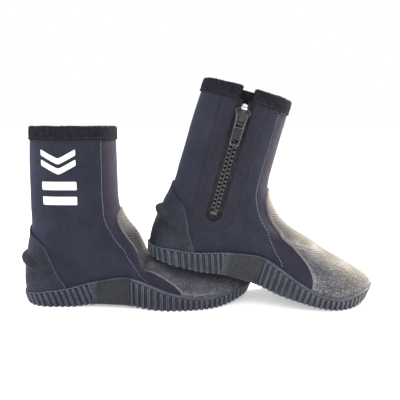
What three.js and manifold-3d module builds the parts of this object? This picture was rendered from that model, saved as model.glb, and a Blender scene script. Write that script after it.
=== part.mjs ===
// A pair of zipped neoprene dive boots with moulded rubber soles. The right boot stands flat; the left
// boot rests its heel on the right boot's toe, with its forefoot flat on the floor and its sole flexed at
// the ball of the foot. Each boot is built in its own frame, in millimetres: x runs forward from the back of
// the heel, y points to the inner (big-toe) side, z is up from the floor. The pair's frame has its origin
// under the middle of the pair, at floor level.
import * as THREE from "three";
import { mergeVertices } from "three/addons/utils/BufferGeometryUtils.js";
import Module from "manifold-3d";

const wasm = await Module();
wasm.setup();

// ---- driving dimensions (mm, degrees) ----
const NEOPRENE = 5;
const GAP = 0.3; // clearance between pieces that touch
const SOLE_PLATE = 5.2; // thickness of the sole under the foot
const SOLE_WALL = 4; // sole wall outside the upper, ribs included
const RIB_PITCH = 6.4;
const RIB_DEPTH = 1.2;
const RIM_BAND = 3; // plain band above the ribs
const OVERLAY = 1.6; // rubber toe and heel caps
const LUG = { height: 58, reach: 6.5, halfHeight: 8, halfAngle: 75 };
const CUFF = { top: 222, outside: 15, inside: 12, thick: 1.3 };
const ZIP = { x: 67, bottom: 78, top: 208, depth: 2, pitch: 5.2, halfSlot: 10, slotBottom: 66 };
const FACING = { halfTop: 28, halfBottom: 24.5, arcCentre: 78 };
const FLEX = { angle: 15.6, from: 205, to: 275, level: 3 };
const LEFT_AHEAD = 152; // the left boot stands this far ahead of the right one
const LEFT_TALLER = 8; // its empty shaft is pulled up by this much at the cuff
const LEFT_SPREAD = 4; // and its back stands this much further behind

// Rings of the upper, from the sole to the cuff. Each ring is a closed loop in a tilted plane through a back
// point and a front point: [front x, z, back x, z, half width, heel round, toe round, roundness].
const RINGS = [
  [288.5, 6, 7, 6, 48.5, 0.13, 0.25, 0],
  [292.5, 15, 5, 15, 50, 0.13, 0.25, 0],
  [288, 28, 4.2, 30, 49.5, 0.13, 0.27, 0.05],
  [271, 44, 5, 45, 46, 0.15, 0.34, 0.2],
  [241, 57, 7.5, 58, 42, 0.17, 0.42, 0.45],
  [206, 67, 10, 72, 39, 0.22, 0.47, 0.65],
  [168, 76, 12.5, 86, 37, 0.28, 0.5, 0.8],
  [146, 89, 14, 102, 35.5, 0.35, 0.48, 0.95],
  [130.5, 110, 14.7, 120, 35, 0.38, 0.45, 1],
  [124.2, 134, 14.7, 142, 35.5, 0.4, 0.42, 1],
  [123.3, 175, 15.5, 178, 36.5, 0.41, 0.41, 1],
  [122.8, CUFF.top, 18, CUFF.top, 37.5, 0.42, 0.42, 1],
];
const TOP_RING = RINGS.length - 1;
// Width of the foot along its length, as a share of its widest half width.
const FOOT_AT = [0, 0.12, 0.3, 0.5, 0.65, 0.8, 1];
const FOOT_OUTER = [0.66, 0.68, 0.7, 0.84, 1, 0.95, 0.74];
const FOOT_INNER = [0.66, 0.68, 0.6, 0.68, 0.92, 0.95, 0.82];
const TOE_SWING = 5; // the toes turn this far towards the inner side
// Side-view lines, as [x, z].
const SEAM = [
  [109.8, 224], [109.4, 200], [108.9, 154], [109.5, 127], [111.1, 109], [118.9, 92],
  [127.9, 79.3], [139.9, 65.2], [151.7, 50.9], [164, 37.4], [170, 22], [173, 5],
];
const TOE_EDGE = [
  [126, 120], [124.2, 114], [124.8, 106], [129, 96.3], [135.6, 86.6], [144.7, 77.2], [155.3, 68.5],
  [169.3, 61.7], [181.5, 54], [193.5, 44.7], [201.1, 34.9], [204.2, 26.9], [204.5, 15],
];
const HEEL_EDGE = [
  [16, 97.5], [24.7, 92.2], [34.7, 82.4], [41.4, 71.7], [46.5, 59.9],
  [51.4, 47], [56.6, 37.1], [61.6, 28.9], [65.2, 21],
];
const HEEL_EDGE_INNER_SHIFT = -6;
const RIM_X = [0, 10, 20, 35, 55, 68, 85, 102, 120, 137, 152, 172, 190, 205, 223, 245, 266, 280, 296];
const RIM_Z = [11.5, 13, 16, 19.5, 22, 24.5, 29.4, 34, 38, 40, 37.2, 30.4, 24, 20, 17, 16, 16.5, 16, 13.5];
// Ring levels shared by the panels, closest where the toe is pressed.
const ROWS = [0, 0.8, 1.7, 2.6, 3.5, 4.4, 5.2, 5.7, 6, 6.2, 6.4, 6.6, 6.9, 7.4, 8.2, 9.4, 10.92];
// The lifted heel of the left boot presses the right boot's toe down: along the boot, the height below which
// nothing moves, the free top of the toe and the pressed top.
const PRESS_X = [140, 145.5, 151, 156, 161, 171, 184, 207, 225, 252, 271, 289, 300];
const PRESS_BASE = [41, 39.8, 38.3, 36.8, 35.6, 31.6, 28.4, 22, 20, 19, 20, 22.5, 23];
const PRESS_FREE = [97, 92.1, 87.7, 84.4, 81.5, 77.4, 73.8, 70.5, 65, 57.5, 48, 37, 31];
const PRESS_TOP = [97, 91, 81.5, 67.5, 59, 56.5, 53.2, 47, 42.2, 38.5, 33.8, 28.7, 27];

// ---- small maths ----
const rad = THREE.MathUtils.degToRad;
const { lerp, clamp } = THREE.MathUtils;
const smooth = (lo, hi, x) => THREE.MathUtils.smoothstep(x, lo, hi);

// A curve through (xs, ys) with Catmull-Rom tangents.
function spline(xs, ys) {
  const slope = xs.map((_, i) => {
    const a = Math.max(i - 1, 0);
    const b = Math.min(i + 1, xs.length - 1);
    return (ys[b] - ys[a]) / (xs[b] - xs[a]);
  });
  return (x) => {
    const i = clamp(xs.findIndex((k) => k >= x) - 1, 0, xs.length - 2);
    const j = x > xs[xs.length - 1] ? xs.length - 2 : i;
    const h = xs[j + 1] - xs[j];
    const t = clamp((x - xs[j]) / h, 0, 1);
    const t2 = t * t;
    const t3 = t2 * t;
    return (
      (2 * t3 - 3 * t2 + 1) * ys[j] + (t3 - 2 * t2 + t) * h * slope[j] +
      (3 * t2 - 2 * t3) * ys[j + 1] + (t3 - t2) * h * slope[j + 1]
    );
  };
}

const column = (k) => spline(RINGS.map((_, i) => i), RINGS.map((r) => r[k]));
const [frontX, frontZ, backX, backZ, halfWidth, heelRound, toeRound, roundness] =
  RINGS[0].map((_, k) => column(k));
const footOuter = spline(FOOT_AT, FOOT_OUTER);
const footInner = spline(FOOT_AT, FOOT_INNER);
const rimHeight = spline(RIM_X, RIM_Z);
const roundEnd = (share) => Math.sqrt(Math.max(0, 1 - (1 - Math.min(share, 1)) ** 2));

// A point of the upper's outer face: a is the angle round the ring (0 at the heel, pi at the toe, outer
// side between them, inner side from pi to 2 pi), v the ring level.
function surface(a, v) {
  const t = (1 - Math.cos(a)) / 2;
  const inner = Math.sin(a) < 0;
  const x = lerp(backX(v), frontX(v), t);
  const z = lerp(backZ(v), frontZ(v), t);
  const foot = inner ? footInner(t) : footOuter(t);
  const half =
    halfWidth(v) * lerp(foot, 1, roundness(v)) * roundEnd(t / heelRound(v)) * roundEnd((1 - t) / toeRound(v));
  const swing = TOE_SWING * smooth(0.55, 1, t) * (1 - smooth(3, 6, v));
  return new THREE.Vector3(x, (inner ? half : -half) + swing, z);
}

function normal(a, v) {
  const d = 0.02;
  const along = surface(a + d, v).sub(surface(a - d, v));
  const up = surface(a, Math.min(v + d, TOP_RING)).sub(surface(a, Math.max(v - d, 0)));
  return along.cross(up).normalize();
}

const offset = (a, v, h) => surface(a, v).addScaledVector(normal(a, v), h);

// The (a, v) of the point seen at x, z from the outer side. The inner side's a is 2 pi - a.
function fromSide(x, z) {
  let lo = 0;
  let hi = TOP_RING;
  const above = (v) =>
    (frontX(v) - backX(v)) * (z - backZ(v)) - (frontZ(v) - backZ(v)) * (x - backX(v)) > 0;
  if (above(hi)) lo = hi;
  for (let k = 0; k < 40 && lo < hi; k++) {
    const mid = (lo + hi) / 2;
    if (above(mid)) lo = mid;
    else hi = mid;
  }
  const length = Math.hypot(frontX(lo) - backX(lo), frontZ(lo) - backZ(lo));
  const t = clamp(Math.hypot(x - backX(lo), z - backZ(lo)) / length, 0, 1);
  return [Math.acos(1 - 2 * t), lo];
}

// An (x, z) line as the angle it has at each ring level.
function angleAtLevel(line) {
  const found = line.map(([x, z]) => fromSide(x, z)).reverse();
  const kept = found.filter(([, v], i) => i === 0 || v > found[i - 1][1] + 1e-6);
  return spline(kept.map((p) => p[1]), kept.map((p) => p[0]));
}

const seamAngle = angleAtLevel(SEAM);
const toeAngle = angleAtLevel(TOE_EDGE);
const heelAngle = angleAtLevel(HEEL_EDGE);
const heelAngleInner = angleAtLevel(HEEL_EDGE.map(([x, z]) => [Math.max(x + HEEL_EDGE_INNER_SHIFT, 6), z]));

// The ring level at which the sole's rim crosses angle a.
function rimLevel(a) {
  let lo = 0;
  let hi = 4;
  for (let k = 0; k < 30; k++) {
    const mid = (lo + hi) / 2;
    const p = surface(a, mid);
    if (p.z < rimHeight(p.x)) lo = mid;
    else hi = mid;
  }
  return lo;
}

// ---- closed meshes ----
function meshFrom(points, faces) {
  const geometry = new THREE.BufferGeometry();
  const numbers = points.flatMap((p) => [p.x, p.y, p.z]);
  geometry.setAttribute("position", new THREE.Float32BufferAttribute(numbers, 3));
  const index = faces.flatMap((f) => f.slice(2).flatMap((_, k) => [f[0], f[k + 1], f[k + 2]]));
  let volume = 0;
  for (let i = 0; i < index.length; i += 3) {
    const [p, q, r] = [0, 1, 2].map((k) => points[index[i + k]]);
    volume += p.dot(new THREE.Vector3().crossVectors(q, r));
  }
  if (volume < 0) index.reverse();
  geometry.setIndex(index);
  return geometry;
}

// A closed sheet between two grids of points of the same size.
function sheet(outside, inside) {
  const rows = outside.length;
  const cols = outside[0].length;
  const points = [...outside.flat(), ...inside.flat()];
  const at = (j, i, layer) => layer * rows * cols + j * cols + i;
  const faces = [];
  for (let j = 0; j < rows - 1; j++) {
    for (let i = 0; i < cols - 1; i++) {
      faces.push([at(j, i, 0), at(j, i + 1, 0), at(j + 1, i + 1, 0), at(j + 1, i, 0)]);
      faces.push([at(j, i, 1), at(j + 1, i, 1), at(j + 1, i + 1, 1), at(j, i + 1, 1)]);
    }
  }
  const edge = [];
  for (let i = 0; i < cols - 1; i++) edge.push([0, i]);
  for (let j = 0; j < rows - 1; j++) edge.push([j, cols - 1]);
  for (let i = cols - 1; i > 0; i--) edge.push([rows - 1, i]);
  for (let j = rows - 1; j > 0; j--) edge.push([j, 0]);
  edge.forEach(([j, i], k) => {
    const [jn, iN] = edge[(k + 1) % edge.length];
    faces.push([at(j, i, 0), at(j, i, 1), at(jn, iN, 1), at(jn, iN, 0)]);
  });
  return meshFrom(points, faces);
}

// A sheet over a grid of (a, v) between two heights above the upper's outer face. outer may be a function.
function shell(grid, inner, outer) {
  const height = typeof outer === "function" ? outer : () => outer;
  return sheet(
    grid.map((row) => row.map(([a, v]) => offset(a, v, height(a, v)))),
    grid.map((row) => row.map(([a, v]) => offset(a, v, inner))),
  );
}

const steps = (n) => Array.from({ length: n + 1 }, (_, i) => i / n);

// Closed loops of equal length, joined one to the next, with the first and last loop closed across the boot.
function loft(loops) {
  const n = loops[0].length;
  const points = loops.flat();
  const faces = [];
  for (let k = 0; k < loops.length - 1; k++) {
    for (let i = 0; i < n; i++) {
      const j = (i + 1) % n;
      faces.push([k * n + i, k * n + j, (k + 1) * n + j, (k + 1) * n + i]);
    }
  }
  const last = (loops.length - 1) * n;
  for (let i = 0; i < n / 2; i++) {
    const [p, q, r, s] = [i, i + 1, n - i - 1, (n - i) % n];
    const quad = [p, q, r, s].filter((x, k, all) => all.indexOf(x) === k);
    faces.push([...quad].reverse());
    faces.push(quad.map((x) => x + last));
  }
  return meshFrom(points, faces);
}

function solid(geometry) {
  const bare = geometry.clone();
  bare.deleteAttribute("normal");
  bare.deleteAttribute("uv");
  const merged = mergeVertices(bare, 1e-4);
  return new wasm.Manifold(
    new wasm.Mesh({
      numProp: 3,
      vertProperties: new Float32Array(merged.getAttribute("position").array),
      triVerts: new Uint32Array(merged.index.array),
    }),
  );
}

function fromSolid(made) {
  const mesh = made.getMesh();
  const geometry = new THREE.BufferGeometry();
  geometry.setAttribute("position", new THREE.BufferAttribute(mesh.vertProperties, 3));
  geometry.setIndex(new THREE.BufferAttribute(mesh.triVerts, 1));
  return geometry;
}

// ---- neoprene panels. grow is how far a panel's edges run past the seam line, negative to leave a gap ----
const FRONT_COLUMNS = 16;
const QUARTER_COLUMNS = 12;
const angleFor = (mm, v) => mm / Math.max(25, (frontX(v) - backX(v)) / 2); // a short arc as an angle

function frontGrid(grow) {
  return ROWS.map((v) => {
    const a = seamAngle(v) - angleFor(grow, v);
    return steps(FRONT_COLUMNS).map((s) => [lerp(a, 2 * Math.PI - a, s), v]);
  });
}

function quarterGrid(grow, inner) {
  return ROWS.map((v) => {
    const edge = angleFor(grow, v);
    const row = steps(QUARTER_COLUMNS).map((s) => lerp(-edge, seamAngle(v) + edge, s));
    return row.map((a) => [inner ? 2 * Math.PI - a : a, v]);
  });
}

const panelGrids = (grow) => [frontGrid(grow), quarterGrid(grow, false), quarterGrid(grow, true)];
const innerSide = ([x, z]) => {
  const [a, v] = fromSide(x, z);
  return [2 * Math.PI - a, v];
};

// A U in side view round the zip, filled, as a block through the boot's inner side.
function uBlock(halfTop, halfBottom, arcCentre) {
  const arc = steps(14).map((s) => [
    ZIP.x + halfBottom * Math.cos(Math.PI * s), arcCentre - halfBottom * Math.sin(Math.PI * s),
  ]);
  const line = [[ZIP.x + halfTop, CUFF.top + 5], ...arc, [ZIP.x - halfTop, CUFF.top + 5]];
  const block = new THREE.ExtrudeGeometry(polygon(line), { depth: 70, bevelEnabled: false });
  return solid(block.rotateX(Math.PI / 2).translate(0, 80, 0));
}

function zipSideParts() {
  const whole = () => solid(shell(quarterGrid(-GAP / 2, true), -NEOPRENE, 0));
  const seam = (grow) => uBlock(FACING.halfTop + grow, FACING.halfBottom + grow, FACING.arcCentre);
  const slot = uBlock(ZIP.halfSlot, ZIP.halfSlot, ZIP.slotBottom + ZIP.halfSlot);
  return {
    quarter: fromSolid(whole().subtract(seam(GAP / 2))),
    facing: fromSolid(whole().intersect(seam(-GAP / 2)).subtract(slot)),
  };
}

// ---- rubber caps ----
const CAP_GAP = 0.45; // between the toe cap and the panel under it
const CAP_LIFT = 1.4; // between a cap's lower edge and the sole's rim
const SOFT_CORNER = rad(14);
const OVER_TOE = [[304, 12], [304, 45], [271, 62], [241, 74], [206, 85], [168, 95], [150, 110], [137, 124]];

// The toe cap lies on the front panel: the panel's own grid, cut to the cap's outline in the standing shape.
function toeCap(stand) {
  const low = [210, 220, 232, 245, 258, 270, 282, 292].map((x) => [x, rimHeight(x) + CAP_LIFT]);
  const edge = TOE_EDGE.filter(([x, z]) => z > rimHeight(x) + CAP_LIFT);
  const block = new THREE.ExtrudeGeometry(polygon([...edge, ...low, ...OVER_TOE]), {
    depth: 160, bevelEnabled: false,
  });
  block.rotateX(Math.PI / 2).translate(0, 80, 0);
  const cover = shell(frontGrid(-GAP / 2), CAP_GAP, CAP_GAP + OVERLAY);
  return fromSolid(solid(shaped(cover, stand)).intersect(solid(shaped(block, stand))));
}

function heelCapGrid(rows, cols) {
  const top = fromSide(...HEEL_EDGE[0])[1];
  const corner = heelAngle(1.6);
  const low = (a) => rimLevel(Math.min(Math.abs(a), corner)) + CAP_LIFT / 14;
  return steps(rows).map((r) => {
    const level = lerp(low(corner), top, r);
    const outer = Math.max(heelAngle(level), SOFT_CORNER);
    const inner = Math.max(heelAngleInner(level), SOFT_CORNER);
    return steps(cols).map((c) => {
      const a = lerp(-inner, outer, c);
      return [a, lerp(low(a), top, r)];
    });
  });
}

// The heel cap's thickness, with the lug that keeps a fin strap from slipping down.
function heelThickness(a, v) {
  const away = Math.abs(Math.atan2(Math.sin(a), Math.cos(a))) / rad(LUG.halfAngle);
  const height = surface(a, v).z - (LUG.height - 9 * away * away);
  const bump = Math.max(0, 1 - (height / LUG.halfHeight) ** 2) * Math.max(0, 1 - away * away);
  return GAP + OVERLAY + LUG.reach * bump;
}

// The heel cap, made a little deep and cut back to the panels under it.
function heelCap(stand) {
  const place = (geometry) => solid(shaped(geometry, stand));
  return fromSolid(panelGrids(GAP).reduce(
    (made, under) => made.subtract(place(shell(under, -NEOPRENE, GAP))),
    place(shell(heelCapGrid(11, 12), -1.2, heelThickness)),
  ));
}

// ---- sole ----
const arch = (x) => 4.2 * smooth(66, 104, x) * (1 - smooth(132, 176, x));
const bevel = (x) => -2 * Math.max(0, 1 - x / 30) ** 2 - 2 * Math.max(0, (x - 240) / 50) ** 2;
const FOOT_FLARE = 3; // the sole's bottom edge stands this far outside the upper
const LIP_CLEAR = 1.5; // from the upper to the sole's inner face, at the rim and at the floor
const FLOOR_CLEAR = 0.8;

// Angles spaced evenly along the sole's edge.
function evenAngles(count) {
  const fine = steps(1440).map((s) => 2 * Math.PI * s);
  const length = [0];
  for (let i = 1; i < fine.length; i++) {
    length.push(length[i - 1] + surface(fine[i], 1).distanceTo(surface(fine[i - 1], 1)));
  }
  const total = length[length.length - 1];
  let k = 0;
  return Array.from({ length: count }, (_, i) => {
    const goal = (total * i) / count;
    while (length[k + 1] < goal) k++;
    return lerp(fine[k], fine[k + 1], (goal - length[k]) / (length[k + 1] - length[k]));
  });
}

function soleLength() {
  const ring = evenAngles(200).map((a) => surface(a, 1));
  return ring.reduce((sum, p, i) => sum + p.distanceTo(ring[(i + 1) % ring.length]), 0);
}

// The bottom edge of the sole at angle a, moved out by extra.
function soleFoot(a, extra) {
  const p = surface(a, 0);
  const n = normal(a, 0.4).setZ(0).normalize();
  const out = p.clone().addScaledVector(n, FOOT_FLARE + bevel(p.x) + extra);
  out.z = arch(p.x);
  return out;
}

// The outsole: a cup whose outer wall is ribbed. The inside has one column for every two outside.
function outsole() {
  const ribs = 4 * Math.round(soleLength() / RIB_PITCH / 4);
  const outerAngles = evenAngles(2 * ribs);
  const innerAngles = outerAngles.filter((_, i) => i % 2 === 0);
  // There is no groove next to the middle of the heel and toe, where the bottom's faces would fold.
  const groove = (i) => (i % 2 && Math.abs(Math.sin(outerAngles[i])) > 0.09 ? -RIB_DEPTH : 0);
  const foot = outerAngles.map((a, i) => soleFoot(a, groove(i)));
  const wall = (a, down, extra) => {
    const top = offset(a, rimLevel(a), SOLE_WALL + extra);
    return top.lerp(soleFoot(a, extra), down);
  };
  const band = outerAngles.map((a, i) => wall(a, RIM_BAND / rimHeight(surface(a, 1).x), groove(i)));
  const rim = outerAngles.map((a) => wall(a, 0, 0));
  const lip = innerAngles.map((a) => offset(a, rimLevel(a), LIP_CLEAR));
  const floor = innerAngles.map((a) => offset(a, 0, FLOOR_CLEAR).setZ(SOLE_PLATE));
  const points = [...foot, ...band, ...rim, ...lip, ...floor];
  const n = foot.length;
  const m = lip.length;
  const faces = [];
  for (let k = 0; k < 2; k++) {
    for (let i = 0; i < n; i++) {
      const j = (i + 1) % n;
      faces.push([k * n + i, k * n + j, (k + 1) * n + j, (k + 1) * n + i]);
    }
  }
  const lipAt = (j) => 3 * n + (j % m);
  for (let j = 0; j < m; j++) {
    const rimAt = (i) => 2 * n + ((2 * j + i) % n);
    faces.push([rimAt(0), rimAt(1), lipAt(j)], [rimAt(1), lipAt(j + 1), lipAt(j)]);
    faces.push([rimAt(1), rimAt(2), lipAt(j + 1)]);
    faces.push([lipAt(j), lipAt(j + 1), lipAt(j + 1) + m, lipAt(j) + m]);
  }
  for (let i = 0; i < n / 2; i++) {
    faces.push([i, i + 1, n - i - 1, (n - i) % n].filter((x, k, all) => all.indexOf(x) === k).reverse());
  }
  for (let i = 0; i < m / 2; i++) {
    const quad = [i, i + 1, m - i - 1, (m - i) % m].filter((x, k, all) => all.indexOf(x) === k);
    faces.push(quad.map((x) => x + 3 * n + m));
  }
  return meshFrom(points, faces);
}

// A flat inner sole, inset from the upper's outer face.
function innerSole(level, inset, bottom, top) {
  const angles = evenAngles(56);
  const outline = (z) => angles.map((a) => offset(a, level, -inset).setZ(z));
  return loft([outline(bottom), outline(top)]);
}

// ---- cuff binding: a folded strip over the top edge, open over the zip ----
function binding() {
  const start = innerSide([ZIP.x - 7, CUFF.top])[0];
  const end = innerSide([ZIP.x + 7, CUFF.top])[0];
  const out = CUFF.thick + GAP;
  const inside = NEOPRENE + 0.9;
  const profile = [
    [out, -CUFF.outside], [out, -1.5], [0, CUFF.thick * 0.4], [-NEOPRENE, CUFF.thick * 0.4],
    [-inside - CUFF.thick, -1.5], [-inside - CUFF.thick, -CUFF.inside], [-inside, -CUFF.inside],
    [-inside, -CUFF.thick], [GAP, -CUFF.thick], [GAP, -CUFF.outside],
  ];
  const stations = steps(46).map((s) => lerp(start - 2 * Math.PI, end, s));
  const rings = stations.map((a) => {
    const n = normal(a, TOP_RING - 0.3).setZ(0).normalize();
    return profile.map(([h, dz]) => {
      const level = fromSide(surface(a, TOP_RING).x, CUFF.top + Math.min(dz, 0))[1];
      const p = surface(a, level).addScaledVector(n, h);
      return p.setZ(CUFF.top + dz);
    });
  });
  const size = profile.length;
  const faces = [];
  rings.slice(1).forEach((_, k) => {
    for (let i = 0; i < size; i++) {
      const j = (i + 1) % size;
      faces.push([k * size + i, k * size + j, (k + 1) * size + j, (k + 1) * size + i]);
    }
  });
  const capStrip = [[0, 1, 8, 9], [1, 2, 8], [2, 3, 7, 8], [3, 4, 7], [4, 5, 6, 7]];
  const last = (rings.length - 1) * size;
  capStrip.forEach((f) => {
    faces.push([...f].reverse());
    faces.push(f.map((i) => i + last));
  });
  return meshFrom(rings.flat(), faces);
}

// ---- inside strips and the printed mark ----
function seamTape(side) {
  const half = 4.5;
  const grid = ROWS.slice(1, -1).map((v) => {
    const a = seamAngle(v);
    const w = angleFor(half, v);
    return [a - w, a, a + w].map((x) => [side === "outer" ? x : 2 * Math.PI - x, v]);
  });
  return shell(grid, -NEOPRENE - 2.4, -NEOPRENE - 1.7);
}

function gusset() {
  const zs = [60, 80, 100, 125, 155, 185, 206];
  const grid = zs.map((z) => steps(6).map((s) => innerSide([ZIP.x + lerp(-21, 21, s), z])));
  return shell(grid, -NEOPRENE - 2.9, -NEOPRENE - 1.2);
}

// A generic mark on the outer side: two chevrons over two plain bars.
const MARK = { x: 60, halfWidth: 21, thick: 0.35 };

function printed(heightAt, thickness) {
  const grid = [0, 1].map((s) => steps(8).map((k) => {
    const x = lerp(MARK.x - MARK.halfWidth, MARK.x + MARK.halfWidth, k);
    return fromSide(x, heightAt(x) + s * thickness);
  }));
  return shell(grid, 0.35, 0.35 + MARK.thick);
}

const chevron = (z) => (x) => z + Math.abs(x - MARK.x) * 0.55;

// ---- zip hardware, in its own flat frame: x across towards the toe, y up along the chain, z outwards ----
const extrude = (shape, depth) =>
  new THREE.ExtrudeGeometry(shape, { depth, bevelEnabled: false, curveSegments: 6 });
const polygon = (points) => new THREE.Shape(points.map(([x, y]) => new THREE.Vector2(x, y)));
const TEETH = { reach: 0.9, root: 2.9, edge: 4.3, tall: 2.2, thick: 2.4 };

function teethComb(sign, zipLength) {
  const count = Math.floor(zipLength / ZIP.pitch) - 1;
  const shift = sign > 0 ? ZIP.pitch / 2 : 0;
  const outline = [[sign * TEETH.edge, 0], [sign * TEETH.root, 0]];
  for (let i = 0; i < count; i++) {
    const y = 0.8 + shift + i * ZIP.pitch;
    const tip = -sign * TEETH.reach;
    outline.push([sign * TEETH.root, y], [tip, y + 0.4]);
    outline.push([tip, y + TEETH.tall - 0.4], [sign * TEETH.root, y + TEETH.tall]);
  }
  outline.push([sign * TEETH.root, count * ZIP.pitch + 2], [sign * TEETH.edge, count * ZIP.pitch + 2]);
  const comb = extrude(polygon(sign > 0 ? outline : outline.reverse()), TEETH.thick);
  return comb.translate(0, 0, -TEETH.thick / 2 + 0.3);
}

function tape(sign, zipLength) {
  const width = ZIP.halfSlot - 0.5 - TEETH.edge - GAP;
  const strip = new THREE.BoxGeometry(width, zipLength + 1, 0.8);
  return strip.translate(sign * (TEETH.edge + GAP + width / 2), (zipLength - 1) / 2, 0);
}

const SLIDER = { length: 17, top: 8.6, bottom: 6, plate: 1.4, under: 1.9, bridge: 4 };
const PULL = { length: 37, width: 11, thick: 1.8, axis: 5.7 };

function slider() {
  const half = SLIDER.length / 2;
  const face = new THREE.Shape();
  face.moveTo(-SLIDER.bottom, -half);
  face.lineTo(SLIDER.bottom, -half);
  face.lineTo(SLIDER.bottom + 0.4, 0);
  face.lineTo(SLIDER.top, half - 5);
  face.quadraticCurveTo(SLIDER.top, half - 1, 3, half);
  face.lineTo(-3, half);
  face.quadraticCurveTo(-SLIDER.top, half - 1, -SLIDER.top, half - 5);
  face.lineTo(-SLIDER.bottom - 0.4, 0);
  const plate = solid(extrude(face, SLIDER.plate).translate(0, 0, SLIDER.under));
  const flange = (sign) => {
    const box = new THREE.BoxGeometry(1, SLIDER.length - 6, SLIDER.under - 0.3);
    return solid(box.translate(sign * (TEETH.edge + 1.1), -2, (SLIDER.under + 1.1) / 2));
  };
  const low = SLIDER.under + SLIDER.plate - 0.2;
  const crest = PULL.axis + 3.3;
  const archLine = new THREE.Shape();
  archLine.moveTo(-6.4, low);
  archLine.lineTo(-5.2, crest - 1.2);
  archLine.quadraticCurveTo(-4.8, crest, -3.6, crest);
  archLine.lineTo(3.6, crest);
  archLine.quadraticCurveTo(4.8, crest, 5.2, crest - 1.2);
  archLine.lineTo(6.4, low);
  archLine.lineTo(4.6, low);
  archLine.lineTo(3.8, crest - 1.4);
  archLine.lineTo(-3.8, crest - 1.4);
  archLine.lineTo(-4.6, low);
  const bridge = extrude(archLine, SLIDER.bridge).translate(0, 0, -SLIDER.bridge / 2);
  bridge.applyMatrix4(new THREE.Matrix4().makeBasis(
    new THREE.Vector3(0, 1, 0), new THREE.Vector3(0, 0, 1), new THREE.Vector3(1, 0, 0),
  ));
  return fromSolid(plate.add(flange(1)).add(flange(-1)).add(solid(bridge)));
}

// The pull tab, with its hinge axis at the origin and hanging down along -y.
function pullTab() {
  const w = PULL.width / 2;
  const tab = new THREE.Shape();
  tab.moveTo(-w + 1, 1.2);
  tab.lineTo(w - 1, 1.2);
  tab.lineTo(w, 0);
  tab.lineTo(w - 0.6, -PULL.length + 3);
  tab.quadraticCurveTo(w - 0.6, -PULL.length, w - 3, -PULL.length);
  tab.lineTo(-w + 3, -PULL.length);
  tab.quadraticCurveTo(-w + 0.6, -PULL.length, -w + 0.6, -PULL.length + 3);
  tab.lineTo(-w, 0);
  const hole = (half, top, bottom) => new THREE.Path(
    [[-half, top], [-half, bottom], [half, bottom], [half, top]].map(([x, y]) => new THREE.Vector2(x, y)),
  );
  tab.holes.push(hole(3.3, -1.1, -12.5), hole(2.6, -PULL.length + 6.5, -PULL.length + 2.6));
  return extrude(tab, PULL.thick).translate(0, 0, -PULL.thick / 2);
}

// ---- materials ----
const material = (hex, roughness, metalness = 0) =>
  new THREE.MeshStandardMaterial({ color: hex, roughness, metalness });
const LOOK = {
  neoprene: material(0x2f323e, 0.85),
  facing: material(0x322f3a, 0.8),
  binding: material(0x2a2730, 0.9),
  rubber: material(0x3b4149, 0.7),
  soleRubber: material(0x363b43, 0.65),
  lining: material(0x22232a, 0.95),
  foam: material(0x3a3c40, 0.9),
  board: material(0x8c8474, 0.9),
  tape: material(0x2b2b30, 0.9),
  plastic: material(0x26272b, 0.45),
  print: material(0xf2f3f5, 0.6),
};

// ---- standing shapes ----
// The sole curves up a little at the toe and at the back of the heel.
function sprung(p) {
  const toe = 12 * Math.max(0, (p.x - 236) / 60) ** 2 * (1 - smooth(8, 60, p.z));
  const heel = 3.5 * Math.max(0, (24 - p.x) / 24) ** 2 * (1 - smooth(8, 30, p.z));
  return p.setZ(p.z + toe + heel);
}

const pressBase = spline(PRESS_X, PRESS_BASE);
const pressFree = spline(PRESS_X, PRESS_FREE);
const pressTop = spline(PRESS_X, PRESS_TOP);

// The right boot's toe, pressed down by the heel that rests on it. The top keeps its thickness.
function pressed(p) {
  sprung(p);
  const base = pressBase(p.x);
  if (p.x < PRESS_X[0] || p.z < base) return p;
  const range = pressFree(p.x) - base;
  const kept = (pressTop(p.x) - base) / range;
  const share = (p.z - base) / range;
  return p.setZ(base + range * (share * (3 * kept - 1) / 2 + share ** 3 * (1 - kept) / 2));
}

// Behind the flexed zone of the sole everything is turned as one; ahead of it everything stays level.
function flexed(p) {
  const angle = rad(FLEX.angle);
  const length = FLEX.to - FLEX.from;
  const radius = length / angle;
  sprung(p).z += LEFT_TALLER * smooth(120, CUFF.top, p.z);
  p.x -= LEFT_SPREAD * (1 - smooth(14, 56, p.x));
  const behind = FLEX.to - p.x;
  if (behind <= 0) return p;
  const turn = Math.min(behind / length, 1) * angle;
  const rest = Math.max(0, behind - length);
  const arm = radius - (p.z - FLEX.level);
  const x = FLEX.to - arm * Math.sin(turn) - rest * Math.cos(turn);
  const z = FLEX.level + radius - arm * Math.cos(turn) + rest * Math.sin(turn);
  return p.set(x, p.y, z);
}

function shaped(geometry, stand) {
  const position = geometry.getAttribute("position");
  const p = new THREE.Vector3();
  for (let i = 0; i < position.count; i++) {
    stand(p.fromBufferAttribute(position, i));
    position.setXYZ(i, p.x, p.y, p.z);
  }
  return geometry;
}

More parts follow.
